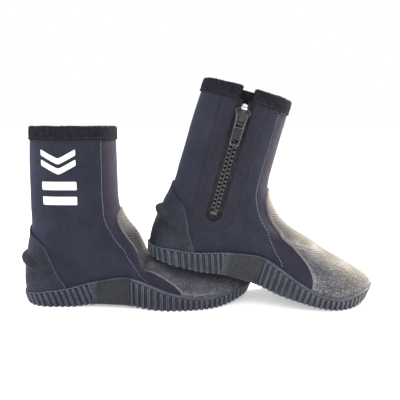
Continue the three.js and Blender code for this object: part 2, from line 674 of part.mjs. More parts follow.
// ---- one boot ----
// name is the boot's side, stand its standing shape, and turn that of everything behind the flexed zone.
function boot(name, stand, turn) {
  const group = new THREE.Group();
  const mesh = (parent, part, geometry, look) => {
    const made = new THREE.Mesh(geometry, look);
    made.name = `${name}_${part}`;
    parent.add(made);
    return made;
  };
  const soft = (part, geometry, look) => mesh(group, part, shaped(geometry, stand), look);

  const zipSide = zipSideParts();
  soft("outsole", outsole(), LOOK.soleRubber);
  soft("insole_board", innerSole(0.1, NEOPRENE + 3.5, SOLE_PLATE + 0.5, SOLE_PLATE + 2), LOOK.board);
  soft("footbed", innerSole(0.6, NEOPRENE + 4, SOLE_PLATE + 2.4, SOLE_PLATE + 6), LOOK.foam);
  soft("front_panel", shell(frontGrid(-GAP / 2), -NEOPRENE, 0), LOOK.neoprene);
  soft("outer_quarter", shell(quarterGrid(-GAP / 2, false), -NEOPRENE, 0), LOOK.neoprene);
  soft("inner_quarter", zipSide.quarter, LOOK.neoprene);
  soft("zip_facing", zipSide.facing, LOOK.facing);
  soft("zip_gusset", gusset(), LOOK.lining);
  mesh(group, "toe_cap", toeCap(stand), LOOK.rubber);
  mesh(group, "heel_cap", heelCap(stand), LOOK.rubber);
  soft("cuff_binding", binding(), LOOK.binding);
  soft("seam_tape_outer", seamTape("outer"), LOOK.tape);
  soft("seam_tape_inner", seamTape("inner"), LOOK.tape);
  soft("print_chevron_upper", printed(chevron(177), 7), LOOK.print);
  soft("print_chevron_lower", printed(chevron(165), 7), LOOK.print);
  soft("print_bar_upper", printed(() => 146, 10), LOOK.print);
  soft("print_bar_lower", printed(() => 128, 10), LOOK.print);

  // The zip is straight and stands behind the flexed zone, so it is placed as one rigid group.
  const shaft = new THREE.Group();
  shaft.position.copy(stand(new THREE.Vector3(100, 0, 100)));
  shaft.rotation.y = turn;
  const held = new THREE.Group();
  held.position.set(-100, 0, -100);
  group.add(shaft);
  shaft.add(held);
  const foot = offset(...innerSide([ZIP.x, ZIP.bottom]), -ZIP.depth);
  const head = offset(...innerSide([ZIP.x, ZIP.top]), -ZIP.depth);
  const up = head.clone().sub(foot);
  const zipLength = up.length();
  up.normalize();
  const out = new THREE.Vector3().crossVectors(up, new THREE.Vector3(1, 0, 0)).normalize();
  const across = new THREE.Vector3().crossVectors(up, out);
  const zip = new THREE.Group();
  zip.matrix.makeBasis(across, up, out).setPosition(foot);
  zip.matrix.decompose(zip.position, zip.quaternion, zip.scale);
  held.add(zip);
  mesh(zip, "zip_tape_front", tape(-1, zipLength + 6), LOOK.tape);
  mesh(zip, "zip_tape_rear", tape(1, zipLength + 6), LOOK.tape);
  mesh(zip, "zip_teeth_front", teethComb(-1, zipLength), LOOK.plastic);
  mesh(zip, "zip_teeth_rear", teethComb(1, zipLength), LOOK.plastic);
  const stop = (w, h) => new THREE.BoxGeometry(w, h, 2.8).translate(0, 0, 0.3);
  mesh(zip, "zip_bottom_stop", stop(8.2, 4), LOOK.plastic).position.y = -2 - GAP;
  for (const [part, sign] of [["front", -1], ["rear", 1]]) {
    const top = mesh(zip, `zip_top_stop_${part}`, stop(2.6, 3.4), LOOK.plastic);
    top.position.set(sign * 2.9, zipLength - 1, 0);
  }
  const sliderAt = zipLength - SLIDER.length / 2 - 3;
  mesh(zip, "zip_slider", slider(), LOOK.plastic).position.y = sliderAt;
  mesh(zip, "zip_pull", pullTab(), LOOK.plastic).position.set(0, sliderAt, PULL.axis);
  return group;
}

// ---- the pair ----
const boxOf = (object) => new THREE.Box3().setFromObject(object);
const pair = new THREE.Group();
const right = boot("right", pressed, 0);
const left = boot("left", flexed, rad(FLEX.angle));
left.scale.y = -1;
left.position.set(LEFT_AHEAD, 0, -boxOf(left).min.z);
pair.add(right, left);
const centre = boxOf(pair).getCenter(new THREE.Vector3());
right.position.sub(centre.clone().setZ(0));
left.position.sub(centre.clone().setZ(0));

export default pair;
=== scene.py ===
"""Looks for a pair of zipped neoprene boots, built round the packed CAD model.

A piece is made in one boot's own frame, in millimetres: x forward from the heel, y towards the big-toe
side, z up. It is then bent into that boot's standing shape and placed in the row frame, in metres. On the
upper, a point is an angle round the leg (0 at the heel, pi at the toe, outer side between them) and a
level from 0 at the sole to 11 at the cuff.
"""

import math
from types import SimpleNamespace

import bmesh
import bpy
import numpy as np
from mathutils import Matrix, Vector


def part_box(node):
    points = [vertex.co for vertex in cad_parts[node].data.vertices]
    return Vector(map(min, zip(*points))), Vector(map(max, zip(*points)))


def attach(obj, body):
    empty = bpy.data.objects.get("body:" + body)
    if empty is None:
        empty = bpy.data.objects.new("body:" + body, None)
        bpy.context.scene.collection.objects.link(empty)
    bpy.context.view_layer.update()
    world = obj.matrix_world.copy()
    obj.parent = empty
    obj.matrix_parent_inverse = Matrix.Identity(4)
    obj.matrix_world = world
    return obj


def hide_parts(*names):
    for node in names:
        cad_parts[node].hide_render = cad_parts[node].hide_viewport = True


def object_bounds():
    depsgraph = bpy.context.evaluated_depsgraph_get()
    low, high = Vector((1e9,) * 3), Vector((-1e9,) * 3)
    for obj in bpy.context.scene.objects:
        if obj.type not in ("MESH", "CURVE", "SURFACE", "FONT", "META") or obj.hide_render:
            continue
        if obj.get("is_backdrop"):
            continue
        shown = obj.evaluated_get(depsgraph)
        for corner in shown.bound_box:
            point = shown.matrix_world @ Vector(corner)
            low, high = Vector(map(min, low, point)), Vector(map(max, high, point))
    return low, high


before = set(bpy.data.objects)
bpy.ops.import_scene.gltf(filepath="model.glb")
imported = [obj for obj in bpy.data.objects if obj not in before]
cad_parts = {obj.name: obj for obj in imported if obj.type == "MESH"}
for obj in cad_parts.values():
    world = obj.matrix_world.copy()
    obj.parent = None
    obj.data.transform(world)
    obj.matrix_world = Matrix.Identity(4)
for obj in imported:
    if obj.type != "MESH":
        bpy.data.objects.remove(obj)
CAD_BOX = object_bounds()

MM = 0.001

# ---- driving dimensions, in millimetres and degrees, as in the CAD ----
NEOPRENE = 5
SOLE_PLATE = 5.2
SOLE_WALL = 4
OVERLAY = 1.6
CAP_GAP = 0.3
CUFF_TOP = 222
BINDING = SimpleNamespace(outside=16.5, inside=12, thick=1.3, opening=7)
ZIP = SimpleNamespace(x=67, bottom=78, top=208, depth=2, pitch=5.2, half_slot=10, slot_bottom=66)
FACING = SimpleNamespace(half_top=28, half_bottom=24.5, arc_centre=78)
LUG = SimpleNamespace(height=58, reach=6.5, half_height=8, drop=16)
FLEX = SimpleNamespace(angle=math.radians(15.6), start=205, end=275, level=3)
LEFT_TALLER = 8  # how much higher the left boot's cuff stands
LEFT_SPREAD = 4  # and how much further behind its back is
TOE_SWING = 5
WAVES_FROM, WAVES_TO = 104, 141  # the stretch of the sole's waist with the fine wavy lines
TOP = 11  # the level of the cuff's edge
PANEL_TOP = 10.96  # where the neoprene ends inside the folded binding

# The upper's rings: front x, z, back x, z, half width, heel round, toe round, roundness.
RINGS = [
    (288.5, 6, 7, 6, 48.5, 0.13, 0.25, 0),
    (292.5, 15, 5, 15, 50, 0.13, 0.25, 0),
    (288, 28, 4.2, 30, 49.5, 0.13, 0.27, 0.05),
    (271, 44, 5, 45, 46, 0.15, 0.34, 0.2),
    (241, 57, 7.5, 58, 42, 0.17, 0.42, 0.45),
    (206, 67, 10, 72, 39, 0.22, 0.47, 0.65),
    (168, 76, 12.5, 86, 37, 0.28, 0.5, 0.8),
    (146, 89, 14, 102, 35.5, 0.35, 0.48, 0.95),
    (130.5, 110, 14.7, 120, 35, 0.38, 0.45, 1),
    (124.2, 134, 14.7, 142, 35.5, 0.4, 0.42, 1),
    (123.3, 175, 15.5, 178, 36.5, 0.41, 0.41, 1),
    (122.8, CUFF_TOP, 18, CUFF_TOP, 37.5, 0.42, 0.42, 1),
]
FOOT_AT = [0, 0.12, 0.3, 0.5, 0.65, 0.8, 1]
FOOT_OUTER = [0.66, 0.68, 0.7, 0.84, 1, 0.95, 0.74]
FOOT_INNER = [0.66, 0.68, 0.6, 0.68, 0.92, 0.95, 0.82]
# Side-view lines, as (x, z).
SEAM = [
    (109.8, 224), (109.4, 200), (108.9, 154), (109.5, 127), (111.1, 109), (118.9, 92),
    (127.9, 79.3), (139.9, 65.2), (151.7, 50.9), (164, 37.4), (170, 22), (173, 5),
]
TOE_EDGE = [
    (126, 120), (124.2, 114), (124.8, 106), (129, 96.3), (135.6, 86.6), (144.7, 77.2), (155.3, 68.5),
    (169.3, 61.7), (181.5, 54), (193.5, 44.7), (201.1, 34.9), (204.2, 26.9), (204.5, 15), (204.5, 5),
]
HEEL_EDGE = [
    (16, 97.5), (24.7, 92.2), (34.7, 82.4), (41.4, 71.7), (46.5, 59.9),
    (51.4, 47), (56.6, 37.1), (61.6, 28.9), (65.2, 21), (68, 12),
]
HEEL_EDGE_INNER_SHIFT = -6
RIM_X = [0, 10, 20, 35, 55, 68, 85, 102, 120, 137, 152, 172, 190, 205, 223, 245, 266, 280, 296]
RIM_Z = [11.5, 13, 16, 19.5, 22, 24.5, 29.4, 34, 38, 40, 37.2, 30.4, 24, 20, 17, 16, 16.5, 16, 13.5]
# The right toe pressed down by the left heel: along the boot, the height where it starts to give, the
# free top and the pressed top.
PRESS_X = [140, 145.5, 151, 156, 161, 171, 184, 207, 225, 252, 271, 289, 300]
PRESS_BASE = [41, 39.8, 38.3, 36.8, 35.6, 31.6, 28.4, 22, 20, 19, 20, 22.5, 23]
PRESS_FREE = [97, 92.1, 87.7, 84.4, 81.5, 77.4, 73.8, 70.5, 65, 57.5, 48, 37, 31]
PRESS_TOP = [97, 91, 81.5, 67.5, 59, 56.5, 53.2, 47, 42.2, 38.5, 33.8, 28.7, 27]


# ---- small maths on arrays ----
def lerp(a, b, t):
    return a + (b - a) * t


def smooth(low, high, x):
    t = np.clip((x - low) / (high - low), 0, 1)
    return t * t * (3 - 2 * t)


def spline(xs, ys):
    """A curve through (xs, ys) with slopes from each point's neighbours."""
    xs, ys = np.array(xs, float), np.array(ys, float)
    before = np.maximum(np.arange(len(xs)) - 1, 0)
    after = np.minimum(np.arange(len(xs)) + 1, len(xs) - 1)
    slope = (ys[after] - ys[before]) / (xs[after] - xs[before])

    def at(x):
        i = np.clip(np.searchsorted(xs, x) - 1, 0, len(xs) - 2)
        h = xs[i + 1] - xs[i]
        t = np.clip((x - xs[i]) / h, 0, 1)
        start = (1 + 2 * t) * (1 - t) ** 2 * ys[i] + t * (1 - t) ** 2 * h * slope[i]
        end = t * t * (3 - 2 * t) * ys[i + 1] + t * t * (t - 1) * h * slope[i + 1]
        return start + end

    return at


def eased(count):
    """Shares from 0 to 1, closest at both ends."""
    return (1 - np.cos(np.linspace(0, np.pi, count))) / 2


def unit(vectors):
    return vectors / np.maximum(np.linalg.norm(vectors, axis=-1, keepdims=True), 1e-12)


def lengths(points, axis):
    """Distance along a grid's rows or columns, from its first point."""
    step = np.linalg.norm(np.diff(points, axis=axis), axis=-1)
    start = np.zeros_like(np.take(step, [0], axis=axis))
    return np.cumsum(np.concatenate([start, step], axis=axis), axis=axis)


# ---- the upper's outer face ----
(FRONT_X, FRONT_Z, BACK_X, BACK_Z, HALF_WIDTH, HEEL_ROUND, TOE_ROUND, ROUNDNESS) = (
    spline(range(len(RINGS)), column) for column in zip(*RINGS)
)
foot_outer = spline(FOOT_AT, FOOT_OUTER)
foot_inner = spline(FOOT_AT, FOOT_INNER)
rim_height = spline(RIM_X, RIM_Z)


def round_end(share):
    return np.sqrt(np.maximum(0, 1 - (1 - np.minimum(share, 1)) ** 2))


def surface(a, v):
    a, v = np.broadcast_arrays(np.asarray(a, float), np.asarray(v, float))
    t = (1 - np.cos(a)) / 2
    inner = np.sin(a) < 0
    foot = lerp(np.where(inner, foot_inner(t), foot_outer(t)), 1, ROUNDNESS(v))
    half = HALF_WIDTH(v) * foot * round_end(t / HEEL_ROUND(v)) * round_end((1 - t) / TOE_ROUND(v))
    swing = TOE_SWING * smooth(0.55, 1, t) * (1 - smooth(3, 6, v))
    x = lerp(BACK_X(v), FRONT_X(v), t)
    z = lerp(BACK_Z(v), FRONT_Z(v), t)
    return np.stack([x, np.where(inner, half, -half) + swing, z], -1)


def normal(a, v):
    d = 0.02
    along = surface(a + d, v) - surface(a - d, v)
    up = surface(a, np.minimum(v + d, TOP)) - surface(a, np.maximum(v - d, 0))
    return unit(np.cross(along, up))


def wobble(a, v):
    """The soft unevenness of the neoprene, none at the sole and the cuff."""
    wave = np.sin(3 * a + 1.7 * v) + 0.8 * np.sin(5 * a - 2.3 * v + 1) + 0.6 * np.sin(2 * a + 4.1 * v)
    return 0.2 * wave * smooth(1.5, 3, v) * (1 - smooth(9, 10, v))


def skin(a, v, height=0):
    """The point this far outside the neoprene's outer face."""
    lift = np.asarray(height) + wobble(a, v)
    return surface(a, v) + lift[..., None] * normal(a, v)


def highest(is_under, shape, top, steps):
    """The highest level, up to top, that is_under still holds for."""
    low, high = np.zeros(shape), np.full(shape, float(top))
    for _ in range(steps):
        v = (low + high) / 2
        under = is_under(v)
        low, high = np.where(under, v, low), np.where(under, high, v)
    return low


def from_side(x, z):
    """The angle and level of the points seen at x, z from the outer side."""
    x, z = np.broadcast_arrays(np.asarray(x, float), np.asarray(z, float))

    def is_under(v):
        rise = (FRONT_X(v) - BACK_X(v)) * (z - BACK_Z(v))
        return rise - (FRONT_Z(v) - BACK_Z(v)) * (x - BACK_X(v)) > 0

    v = highest(is_under, x.shape, TOP, 40)
    length = np.hypot(FRONT_X(v) - BACK_X(v), FRONT_Z(v) - BACK_Z(v))
    share = np.clip(np.hypot(x - BACK_X(v), z - BACK_Z(v)) / length, 0, 1)
    return np.arccos(1 - 2 * share), v


def angle_at_level(line):
    """A side-view line as the angle it has at each level."""
    a, v = from_side(*np.array(line[::-1], float).T)
    kept = np.r_[True, np.diff(v) > 1e-6]
    return spline(v[kept], a[kept])


seam_angle = angle_at_level(SEAM)
toe_angle = angle_at_level(TOE_EDGE)
heel_angle = angle_at_level(HEEL_EDGE)
heel_angle_inner = angle_at_level([(max(x + HEEL_EDGE_INNER_SHIFT, 6), z) for x, z in HEEL_EDGE])


def rim_level(a):
    """The level at which the sole's rim crosses an angle."""

    def is_under(v):
        p = surface(a, v)
        return p[..., 2] < rim_height(p[..., 0])

    return highest(is_under, np.shape(a), 4, 30)


def sideways(mm, v):
    """A short distance round the leg, as an angle."""
    return mm / np.maximum(25, (FRONT_X(v) - BACK_X(v)) / 2)


def levels(low, high, count):
    """Levels from low to high that are evenly spaced in height at the side."""
    fine = np.linspace(low, high, 400)
    z = surface(np.pi / 2, fine)[:, 2]
    return np.interp(np.linspace(z[0], z[-1], count), z, fine)


FINE_ANGLES = np.linspace(0, 2 * np.pi, 1441)
ROUND_SOLE = lengths(surface(FINE_ANGLES, 1), 0)  # how far along the sole's edge each of them is


def even_angles(count):
    """Angles spaced evenly along the sole's edge."""
    return np.interp(np.arange(count) * ROUND_SOLE[-1] / count, ROUND_SOLE, FINE_ANGLES)


# ---- standing shapes and placing ----
def sprung(p):
    """The sole curves up a little at the toe and at the back of the heel."""
    x, z = p[..., 0], p[..., 2]
    toe = 12 * np.maximum(0, (x - 236) / 60) ** 2 * (1 - smooth(8, 60, z))
    heel = 3.5 * np.maximum(0, (24 - x) / 24) ** 2 * (1 - smooth(8, 30, z))
    return np.stack([x, p[..., 1], z + toe + heel], -1)


press_base = spline(PRESS_X, PRESS_BASE)
press_free = spline(PRESS_X, PRESS_FREE)
press_top = spline(PRESS_X, PRESS_TOP)


def pressed(p):
    """The right boot: its toe is pressed down, and the top keeps its thickness."""
    p = sprung(p)
    x, z = p[..., 0], p[..., 2]
    base = press_base(x)
    reach = press_free(x) - base
    kept = (press_top(x) - base) / reach
    share = (z - base) / reach
    down = base + reach * (share * (3 * kept - 1) / 2 + share**3 * (1 - kept) / 2)
    return np.stack([x, p[..., 1], np.where((x >= PRESS_X[0]) & (z > base), down, z)], -1)


def flexed(p):
    """The left boot: all behind the flexed zone is turned as one, and all ahead of it stays level."""
    rise = LEFT_TALLER * smooth(120, CUFF_TOP, sprung(p)[..., 2])
    x, z = p[..., 0], sprung(p)[..., 2] + rise
    x = x - LEFT_SPREAD * (1 - smooth(14, 56, x))
    length = FLEX.end - FLEX.start
    radius = length / FLEX.angle
    behind = FLEX.end - x
    turn = np.clip(behind / length, 0, 1) * FLEX.angle
    rest = np.maximum(0, behind - length)
    arm = radius - (z - FLEX.level)
    bent_x = FLEX.end - arm * np.sin(turn) - rest * np.cos(turn)
    bent_z = FLEX.level + radius - arm * np.cos(turn) + rest * np.sin(turn)
    ahead = behind <= 0
    return np.stack([np.where(ahead, x, bent_x), p[..., 1], np.where(ahead, z, bent_z)], -1)


def board_outline():
    """The insole board's lower edge, which the boots are lined up by."""
    edge = surface(even_angles(56), 0.1) - (NEOPRENE + 3.5) * normal(even_angles(56), 0.1)
    edge[:, 2] = SOLE_PLATE + 0.5
    return edge


def make_boot(name, stand, mirror, turn):
    """How one boot's own frame goes into the row frame."""
    flip = np.array([1, mirror, 1])
    low, high = (np.array(c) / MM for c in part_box(f"{name}_insole_board"))
    own = stand(board_outline())
    shift = np.array([high[0] - own[:, 0].max(), 0, low[2] - own[:, 2].min()])
    pivot = np.array([100.0, 0, 100])
    pivot_to = stand(pivot)
    c, s = math.cos(turn), math.sin(turn)
    spin = np.array([[c, 0, s], [0, 1, 0], [-s, 0, c]])

    def soft(p):
        return (stand(p) * flip + shift) * MM

    def rigid(p):
        return (((p - pivot) @ spin.T + pivot_to) * flip + shift) * MM

    return SimpleNamespace(name=name, soft=soft, rigid=rigid, body=f"{name}_boot")


BOOTS = [make_boot("right", pressed, 1, 0), make_boot("left", flexed, -1, FLEX.angle)]


# ---- meshes as (points, faces, uv); uv is in millimetres ----
def grid_faces(rows, cols, around=False, start=0):
    """Quads over a grid of points; around joins the last column to the first."""
    j, i = np.meshgrid(np.arange(rows - 1), np.arange(cols if around else cols - 1), indexing="ij")
    k = (i + 1) % cols
    quads = np.stack([j * cols + i, j * cols + k, (j + 1) * cols + k, (j + 1) * cols + i], -1)
    return (quads.reshape(-1, 4) + start).tolist()


def rod_faces(rings, sides, start=0):
    """Quads round a stack of closed rings, and a face over each end."""
    last = start + (rings - 1) * sides
    ends = [[start + i for i in reversed(range(sides))], [last + i for i in range(sides)]]
    return grid_faces(rings, sides, around=True, start=start) + ends


def grid_uv(points):
    """Distances over a grid, measured across from its middle column."""
    across = lengths(points, 1)
    return np.stack([across - across[:, -1:] / 2, lengths(points, 0)], -1).reshape(-1, 2)


def sheet(outside, inside):
    """A closed sheet between two grids of points of the same size. The inner face and edges come last."""
    rows, cols = outside.shape[:2]
    count = rows * cols
    outer = grid_faces(rows, cols)
    inner = [f[::-1] for f in grid_faces(rows, cols, start=count)]
    index = np.arange(count).reshape(rows, cols)
    loop = np.concatenate([index[0, :-1], index[:-1, -1], index[-1, :0:-1], index[:0:-1, 0]])
    ahead = np.roll(loop, -1)
    edge = np.stack([ahead, loop, loop + count, ahead + count], -1).tolist()
    points = np.concatenate([outside.reshape(-1, 3), inside.reshape(-1, 3)])
    uv = grid_uv(outside)
    made = (points, outer + inner + edge, np.concatenate([uv, uv]))
    return made, len(outer)


def tubes(centres, radii, sides, around_from):
    """Closed tubes, one for each row of centres, as one mesh. around_from is a direction across each."""
    count, rings = centres.shape[:2]
    along = unit(np.gradient(centres, axis=1))
    out = unit(around_from - np.sum(around_from * along, -1, keepdims=True) * along)
    side = np.cross(along, out)
    turn = np.arange(sides) * 2 * np.pi / sides
    ring = np.cos(turn)[:, None] * out[:, :, None] + np.sin(turn)[:, None] * side[:, :, None]
    points = centres[:, :, None] + ring * radii[..., None, None]
    faces = []
    for k in range(count):
        faces += rod_faces(rings, sides, start=k * rings * sides)
    uv = np.zeros((count * rings * sides, 2))
    return points.reshape(-1, 3), faces, uv


def volume(points, faces):
    """Six times the volume inside, positive when the faces turn outwards."""
    fans = np.array([(f[0], f[k], f[k + 1]) for f in faces for k in range(1, len(f) - 1)])
    p, q, r = points[fans].transpose(1, 0, 2)
    return np.einsum("ij,ij->", p, np.cross(q, r))


def joined(meshes):
    """Several (points, faces, uv) as one."""
    points, faces, uv, start = [], [], [], 0
    for p, f, t in meshes:
        points.append(p)
        uv.append(t)
        faces += [[i + start for i in face] for face in f]
        start += len(p)
    return np.concatenate(points), faces, np.concatenate(uv)


def put(name, data, where=(0, 0, 0), turn=(0, 0, 0)):
    """An object in the scene, moved and then turned about its own origin."""
    obj = bpy.data.objects.new(name, data)
    obj.location = where
    obj.rotation_euler = turn
    bpy.context.scene.collection.objects.link(obj)
    return obj


def piece(boot, part, made, look, slot, place="soft", body=None, stands_for=(), second=None):
    """One named object from a mesh in the boot's own frame, riding on its body.

    second is another material and the first face that has it.
    """
    points, faces, uv = made
    points = (boot.soft if place == "soft" else boot.rigid)(points)
    if volume(points, faces) < 0:
        faces = [f[::-1] for f in faces]
    mesh = bpy.data.meshes.new(f"{boot.name}_{part}")
    mesh.from_pydata(points.tolist(), [], faces)
    layer = mesh.uv_layers.new(name="weave")
    corners = np.zeros(len(mesh.loops), np.int32)
    mesh.loops.foreach_get("vertex_index", corners)
    layer.data.foreach_set("uv", (uv[corners] * MM).astype(np.float32).ravel())
    mesh.shade_smooth()
    mesh.materials.append(look)
    if second:
        mesh.materials.append(second[0])
        after = np.arange(len(faces)) >= second[1]
        mesh.polygons.foreach_set("material_index", after.astype(np.int32))
    obj = put(mesh.name, mesh)
    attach(obj, body or boot.body)
    if stands_for:
        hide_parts(*[f"{boot.name}_{n}" for n in stands_for])
    return obj


# ---- materials ----
def linear(rgb):
    """A colour given as 0 to 255 on screen, in linear light."""
    c = np.array(rgb) / 255
    return (*np.where(c <= 0.04045, c / 12.92, ((c + 0.055) / 1.055) ** 2.4), 1)


def scaled(rgb, share):
    return [c * share for c in rgb]


class Tree:
    """A material's node tree, with short calls to add and link nodes."""

    def __init__(self, name):
        self.material = bpy.data.materials.new(name)
        self.material.use_nodes = True
        self.nodes = self.material.node_tree.nodes
        self.links = self.material.node_tree.links
        self.shader = self.nodes["Principled BSDF"]
        self.uv = self.add("ShaderNodeUVMap", uv_map="weave").outputs["UV"]
        self.place = self.add("ShaderNodeTexCoord").outputs["Object"]

    def add(self, kind, inputs=(), **settings):
        node = self.nodes.new(kind)
        for key, value in settings.items():
            setattr(node, key, value)
        for key, value in dict(inputs).items():
            self.feed(node.inputs[key], value)
        return node

    def feed(self, socket, value):
        if isinstance(value, bpy.types.NodeSocket):
            self.links.new(value, socket)
        else:
            socket.default_value = value

    def maths(self, operation, *values):
        node = self.add("ShaderNodeMath", operation=operation)
        for socket, value in zip(node.inputs, values):
            self.feed(socket, value)
        return node.outputs[0]

    def axis(self, vector, name):
        return self.add("ShaderNodeSeparateXYZ", {"Vector": vector}).outputs[name]

    def texture(self, kind, size, **more):
        """A procedural texture whose lumps are about this many millimetres across."""
        return self.add(kind, {"Vector": self.place, "Scale": 1 / (size * MM), **more}).outputs

    def noise(self, size, detail=2.0):
        return self.texture("ShaderNodeTexNoise", size, Detail=detail)["Fac"]

    def cells(self, size):
        return self.texture("ShaderNodeTexVoronoi", size)["Distance"]

    def specks(self, size, share):
        """Round spots, one in each of this share of cells."""
        cell = self.texture("ShaderNodeTexVoronoi", size)
        picked = self.ramp(self.axis(cell["Color"], "X"), 1 - share, 1 - share + 0.05)
        return self.maths("MULTIPLY", picked, self.ramp(cell["Distance"], 0.55, 0.35))

    def edges(self, low, high):
        """How much the face turns outwards, from 0 at low pointiness to 1 at high."""
        return self.ramp(self.add("ShaderNodeNewGeometry").outputs["Pointiness"], low, high)

    def stripes(self, axis, pitch, bend=None):
        """A sine from -1 to 1 along u or v of the weave map."""
        turn = self.maths("MULTIPLY", self.axis(self.uv, axis), 2 * math.pi / (pitch * MM))
        if bend is not None:
            turn = self.maths("ADD", turn, bend)
        return self.maths("SINE", turn)

    def mix(self, share, a, b):
        """A blend from a to b, each the colour from a node or a colour on screen."""
        node = self.add("ShaderNodeMix", data_type="RGBA")
        self.feed(node.inputs["Factor"], share)
        for socket, colour in ((node.inputs[6], a), (node.inputs[7], b)):
            self.feed(socket, colour if isinstance(colour, bpy.types.NodeSocket) else linear(colour))
        return node.outputs[2]

    def ramp(self, value, low, high, to_low=0.0, to_high=1.0):
        inputs = {"Value": value, "From Min": low, "From Max": high, "To Min": to_low, "To Max": to_high}
        return self.add("ShaderNodeMapRange", inputs).outputs["Result"]

    def bumps(self, *layers):
        """Bump from (height, depth in mm) layers, one after the other."""
        last = None
        for height, depth in layers:
            inputs = {"Height": height, "Distance": depth * MM, "Strength": 1.0}
            if last is not None:
                inputs["Normal"] = last
            last = self.add("ShaderNodeBump", inputs).outputs["Normal"]
        self.feed(self.shader.inputs["Normal"], last)

    def finish(self, colour, roughness, specular=0.5, sheen=0.0, sheen_tint=None, metallic=0.0):
        s = self.shader.inputs
        self.feed(s["Base Color"], colour)
        self.feed(s["Roughness"], roughness)
        s["Specular IOR Level"].default_value = specular
        s["Sheen Weight"].default_value = sheen
        s["Sheen Roughness"].default_value = 0.45
        if sheen_tint:
            s["Sheen Tint"].default_value = linear(sheen_tint)
        s["Metallic"].default_value = metallic
        return self.material


KNIT = SimpleNamespace(wale=0.9, course=0.7, depth=0.09)


def knitted(name, dark, light, sheen, sheen_tint):
    """Fine jersey: columns of stitches crossed by courses, with soft patches of tone."""
    t = Tree(name)
    columns = t.stripes("X", KNIT.wale)
    courses = t.stripes("Y", KNIT.course, bend=t.maths("MULTIPLY", columns, 1.3))
    loop = t.maths("MULTIPLY_ADD", courses, 0.5, t.maths("MULTIPLY", columns, 0.5))
    patch = t.maths("MULTIPLY_ADD", t.noise(9, 4), 0.4, t.maths("MULTIPLY", t.noise(45), 0.6))
    tone = t.mix(t.ramp(patch, 0.3, 0.7), dark, light)
    fleck = t.ramp(t.noise(0.6, 0), 0.62, 0.8, 0, 0.25)
    colour = t.mix(fleck, tone, [c + 26 for c in light])
    t.bumps((t.noise(14, 2), 0.3), (loop, KNIT.depth), (t.noise(0.5, 1), 0.05))
    rough = t.ramp(patch, 0.3, 0.7, 0.95, 0.82)
    return t.finish(colour, rough, specular=0.12, sheen=sheen, sheen_tint=sheen_tint)


def rubber(name, dark, light, dust_and_light_tone, stipple, roughness, dust_and_light_share=(0.0, 1.0), sheen=0.0, painted_shade_span=None):
    """Moulded rubber: pebbled, with paler edges (wear and painted highlight), painted shade in grooves, and
    dusting.

    dusty gives how much pale film and specking there is 75 mm or more above a cap's lower edge, and at that
    edge;
    on the toe, where it is warm, it is partly painted light. clean is the stretch of the sole's length, in
    mm, that is darkened as painted shade, as the waist faces down.
    """
    t = Tree(name)
    patch = t.noise(22, 5)
    tone = t.mix(t.ramp(patch, 0.35, 0.65), dark, light)
    # Painted shade: darker where the surface turns inwards, in the grooves between ribs and pebbles.
    tone = t.mix(t.edges(0.49, 0.43), tone, scaled(dark, 0.35))
    # Paler where the surface turns outwards: partly wear, partly painted highlight on rib tops and cap edges.
    edge_wear_and_highlight = t.maths("MULTIPLY", t.edges(0.51, 0.58), t.ramp(t.noise(4, 3), 0.25, 0.6, 0.3, 0.8))
    tone = t.mix(edge_wear_and_highlight, tone, dust_and_light_tone)
    # A pale film and specks, heaviest near a cap's lower edge; on the toe their paler, warmer tone is partly
    # painted light.
    amount = t.ramp(t.axis(t.uv, "Y"), 75 * MM, 5 * MM, *dust_and_light_share)
    speck = t.maths("MAXIMUM", t.specks(1.0, 0.25), t.specks(1.5, 0.12))
    speck = t.maths("MULTIPLY", speck, t.maths("MULTIPLY", amount, t.ramp(patch, 0.25, 0.6, 0.4, 1)))
    film = t.maths("MULTIPLY", amount, t.ramp(t.noise(6, 4), 0.4, 0.7, 0.05, 0.4))
    colour = t.mix(film, tone, scaled(dust_and_light_tone, 0.8))
    colour = t.mix(speck, colour, scaled(dust_and_light_tone, 1.15))
    # Painted shade: the sole's waist is darkened over the span given, as it faces down.
    if painted_shade_span:
        along = t.axis(t.uv, "X")
        start = t.ramp(along, (painted_shade_span[0] - 6) * MM, painted_shade_span[0] * MM)
        end = t.ramp(along, (painted_shade_span[1] + 6) * MM, painted_shade_span[1] * MM)
        inside = t.maths("MULTIPLY", t.maths("MULTIPLY", start, end), 0.6)
        colour = t.mix(inside, colour, scaled(dark, 0.25))
    t.bumps((t.cells(stipple), 0.14), (t.noise(0.5, 2), 0.05))
    rough = t.ramp(patch, 0.3, 0.7, roughness + 0.08, roughness - 0.08)
    return t.finish(colour, rough, specular=0.35, sheen=sheen, sheen_tint=(235, 222, 196))


def ribbed_cloth(name, dark, light, pitch, depth, sheen):
    """Stretch tape: fine ribs across it, with fibre."""
    t = Tree(name)
    ribs = t.stripes("X", pitch, bend=t.maths("MULTIPLY", t.noise(3, 2), 3.0))
    cross = t.stripes("Y", pitch * 0.8)
    colour = t.mix(t.ramp(t.noise(5, 4), 0.3, 0.7), dark, light)
    t.bumps((ribs, depth), (cross, depth * 0.6), (t.noise(0.4, 2), 0.12))
    return t.finish(colour, 0.95, specular=0.08, sheen=sheen, sheen_tint=light)


def moulded(name, dark, light, roughness, metallic=0.0, edge_wear_and_highlight=None, specular=0.3):
    """Moulded plastic or cast metal, with faint grain and scuffs, and paler edges that are partly wear,
    partly painted highlight.
    """
    t = Tree(name)
    scuff = t.ramp(t.noise(3, 6), 0.45, 0.7)
    colour = t.mix(scuff, dark, light)
    # Paler edges: partly wear, partly painted highlight.
    if edge_wear_and_highlight:
        colour = t.mix(t.maths("MULTIPLY", t.edges(0.51, 0.6), 0.7), colour, edge_wear_and_highlight)
    t.bumps((t.noise(0.6, 3), 0.02))
    rough = t.maths("MULTIPLY_ADD", scuff, 0.15, roughness)
    return t.finish(colour, rough, specular=specular, metallic=metallic)


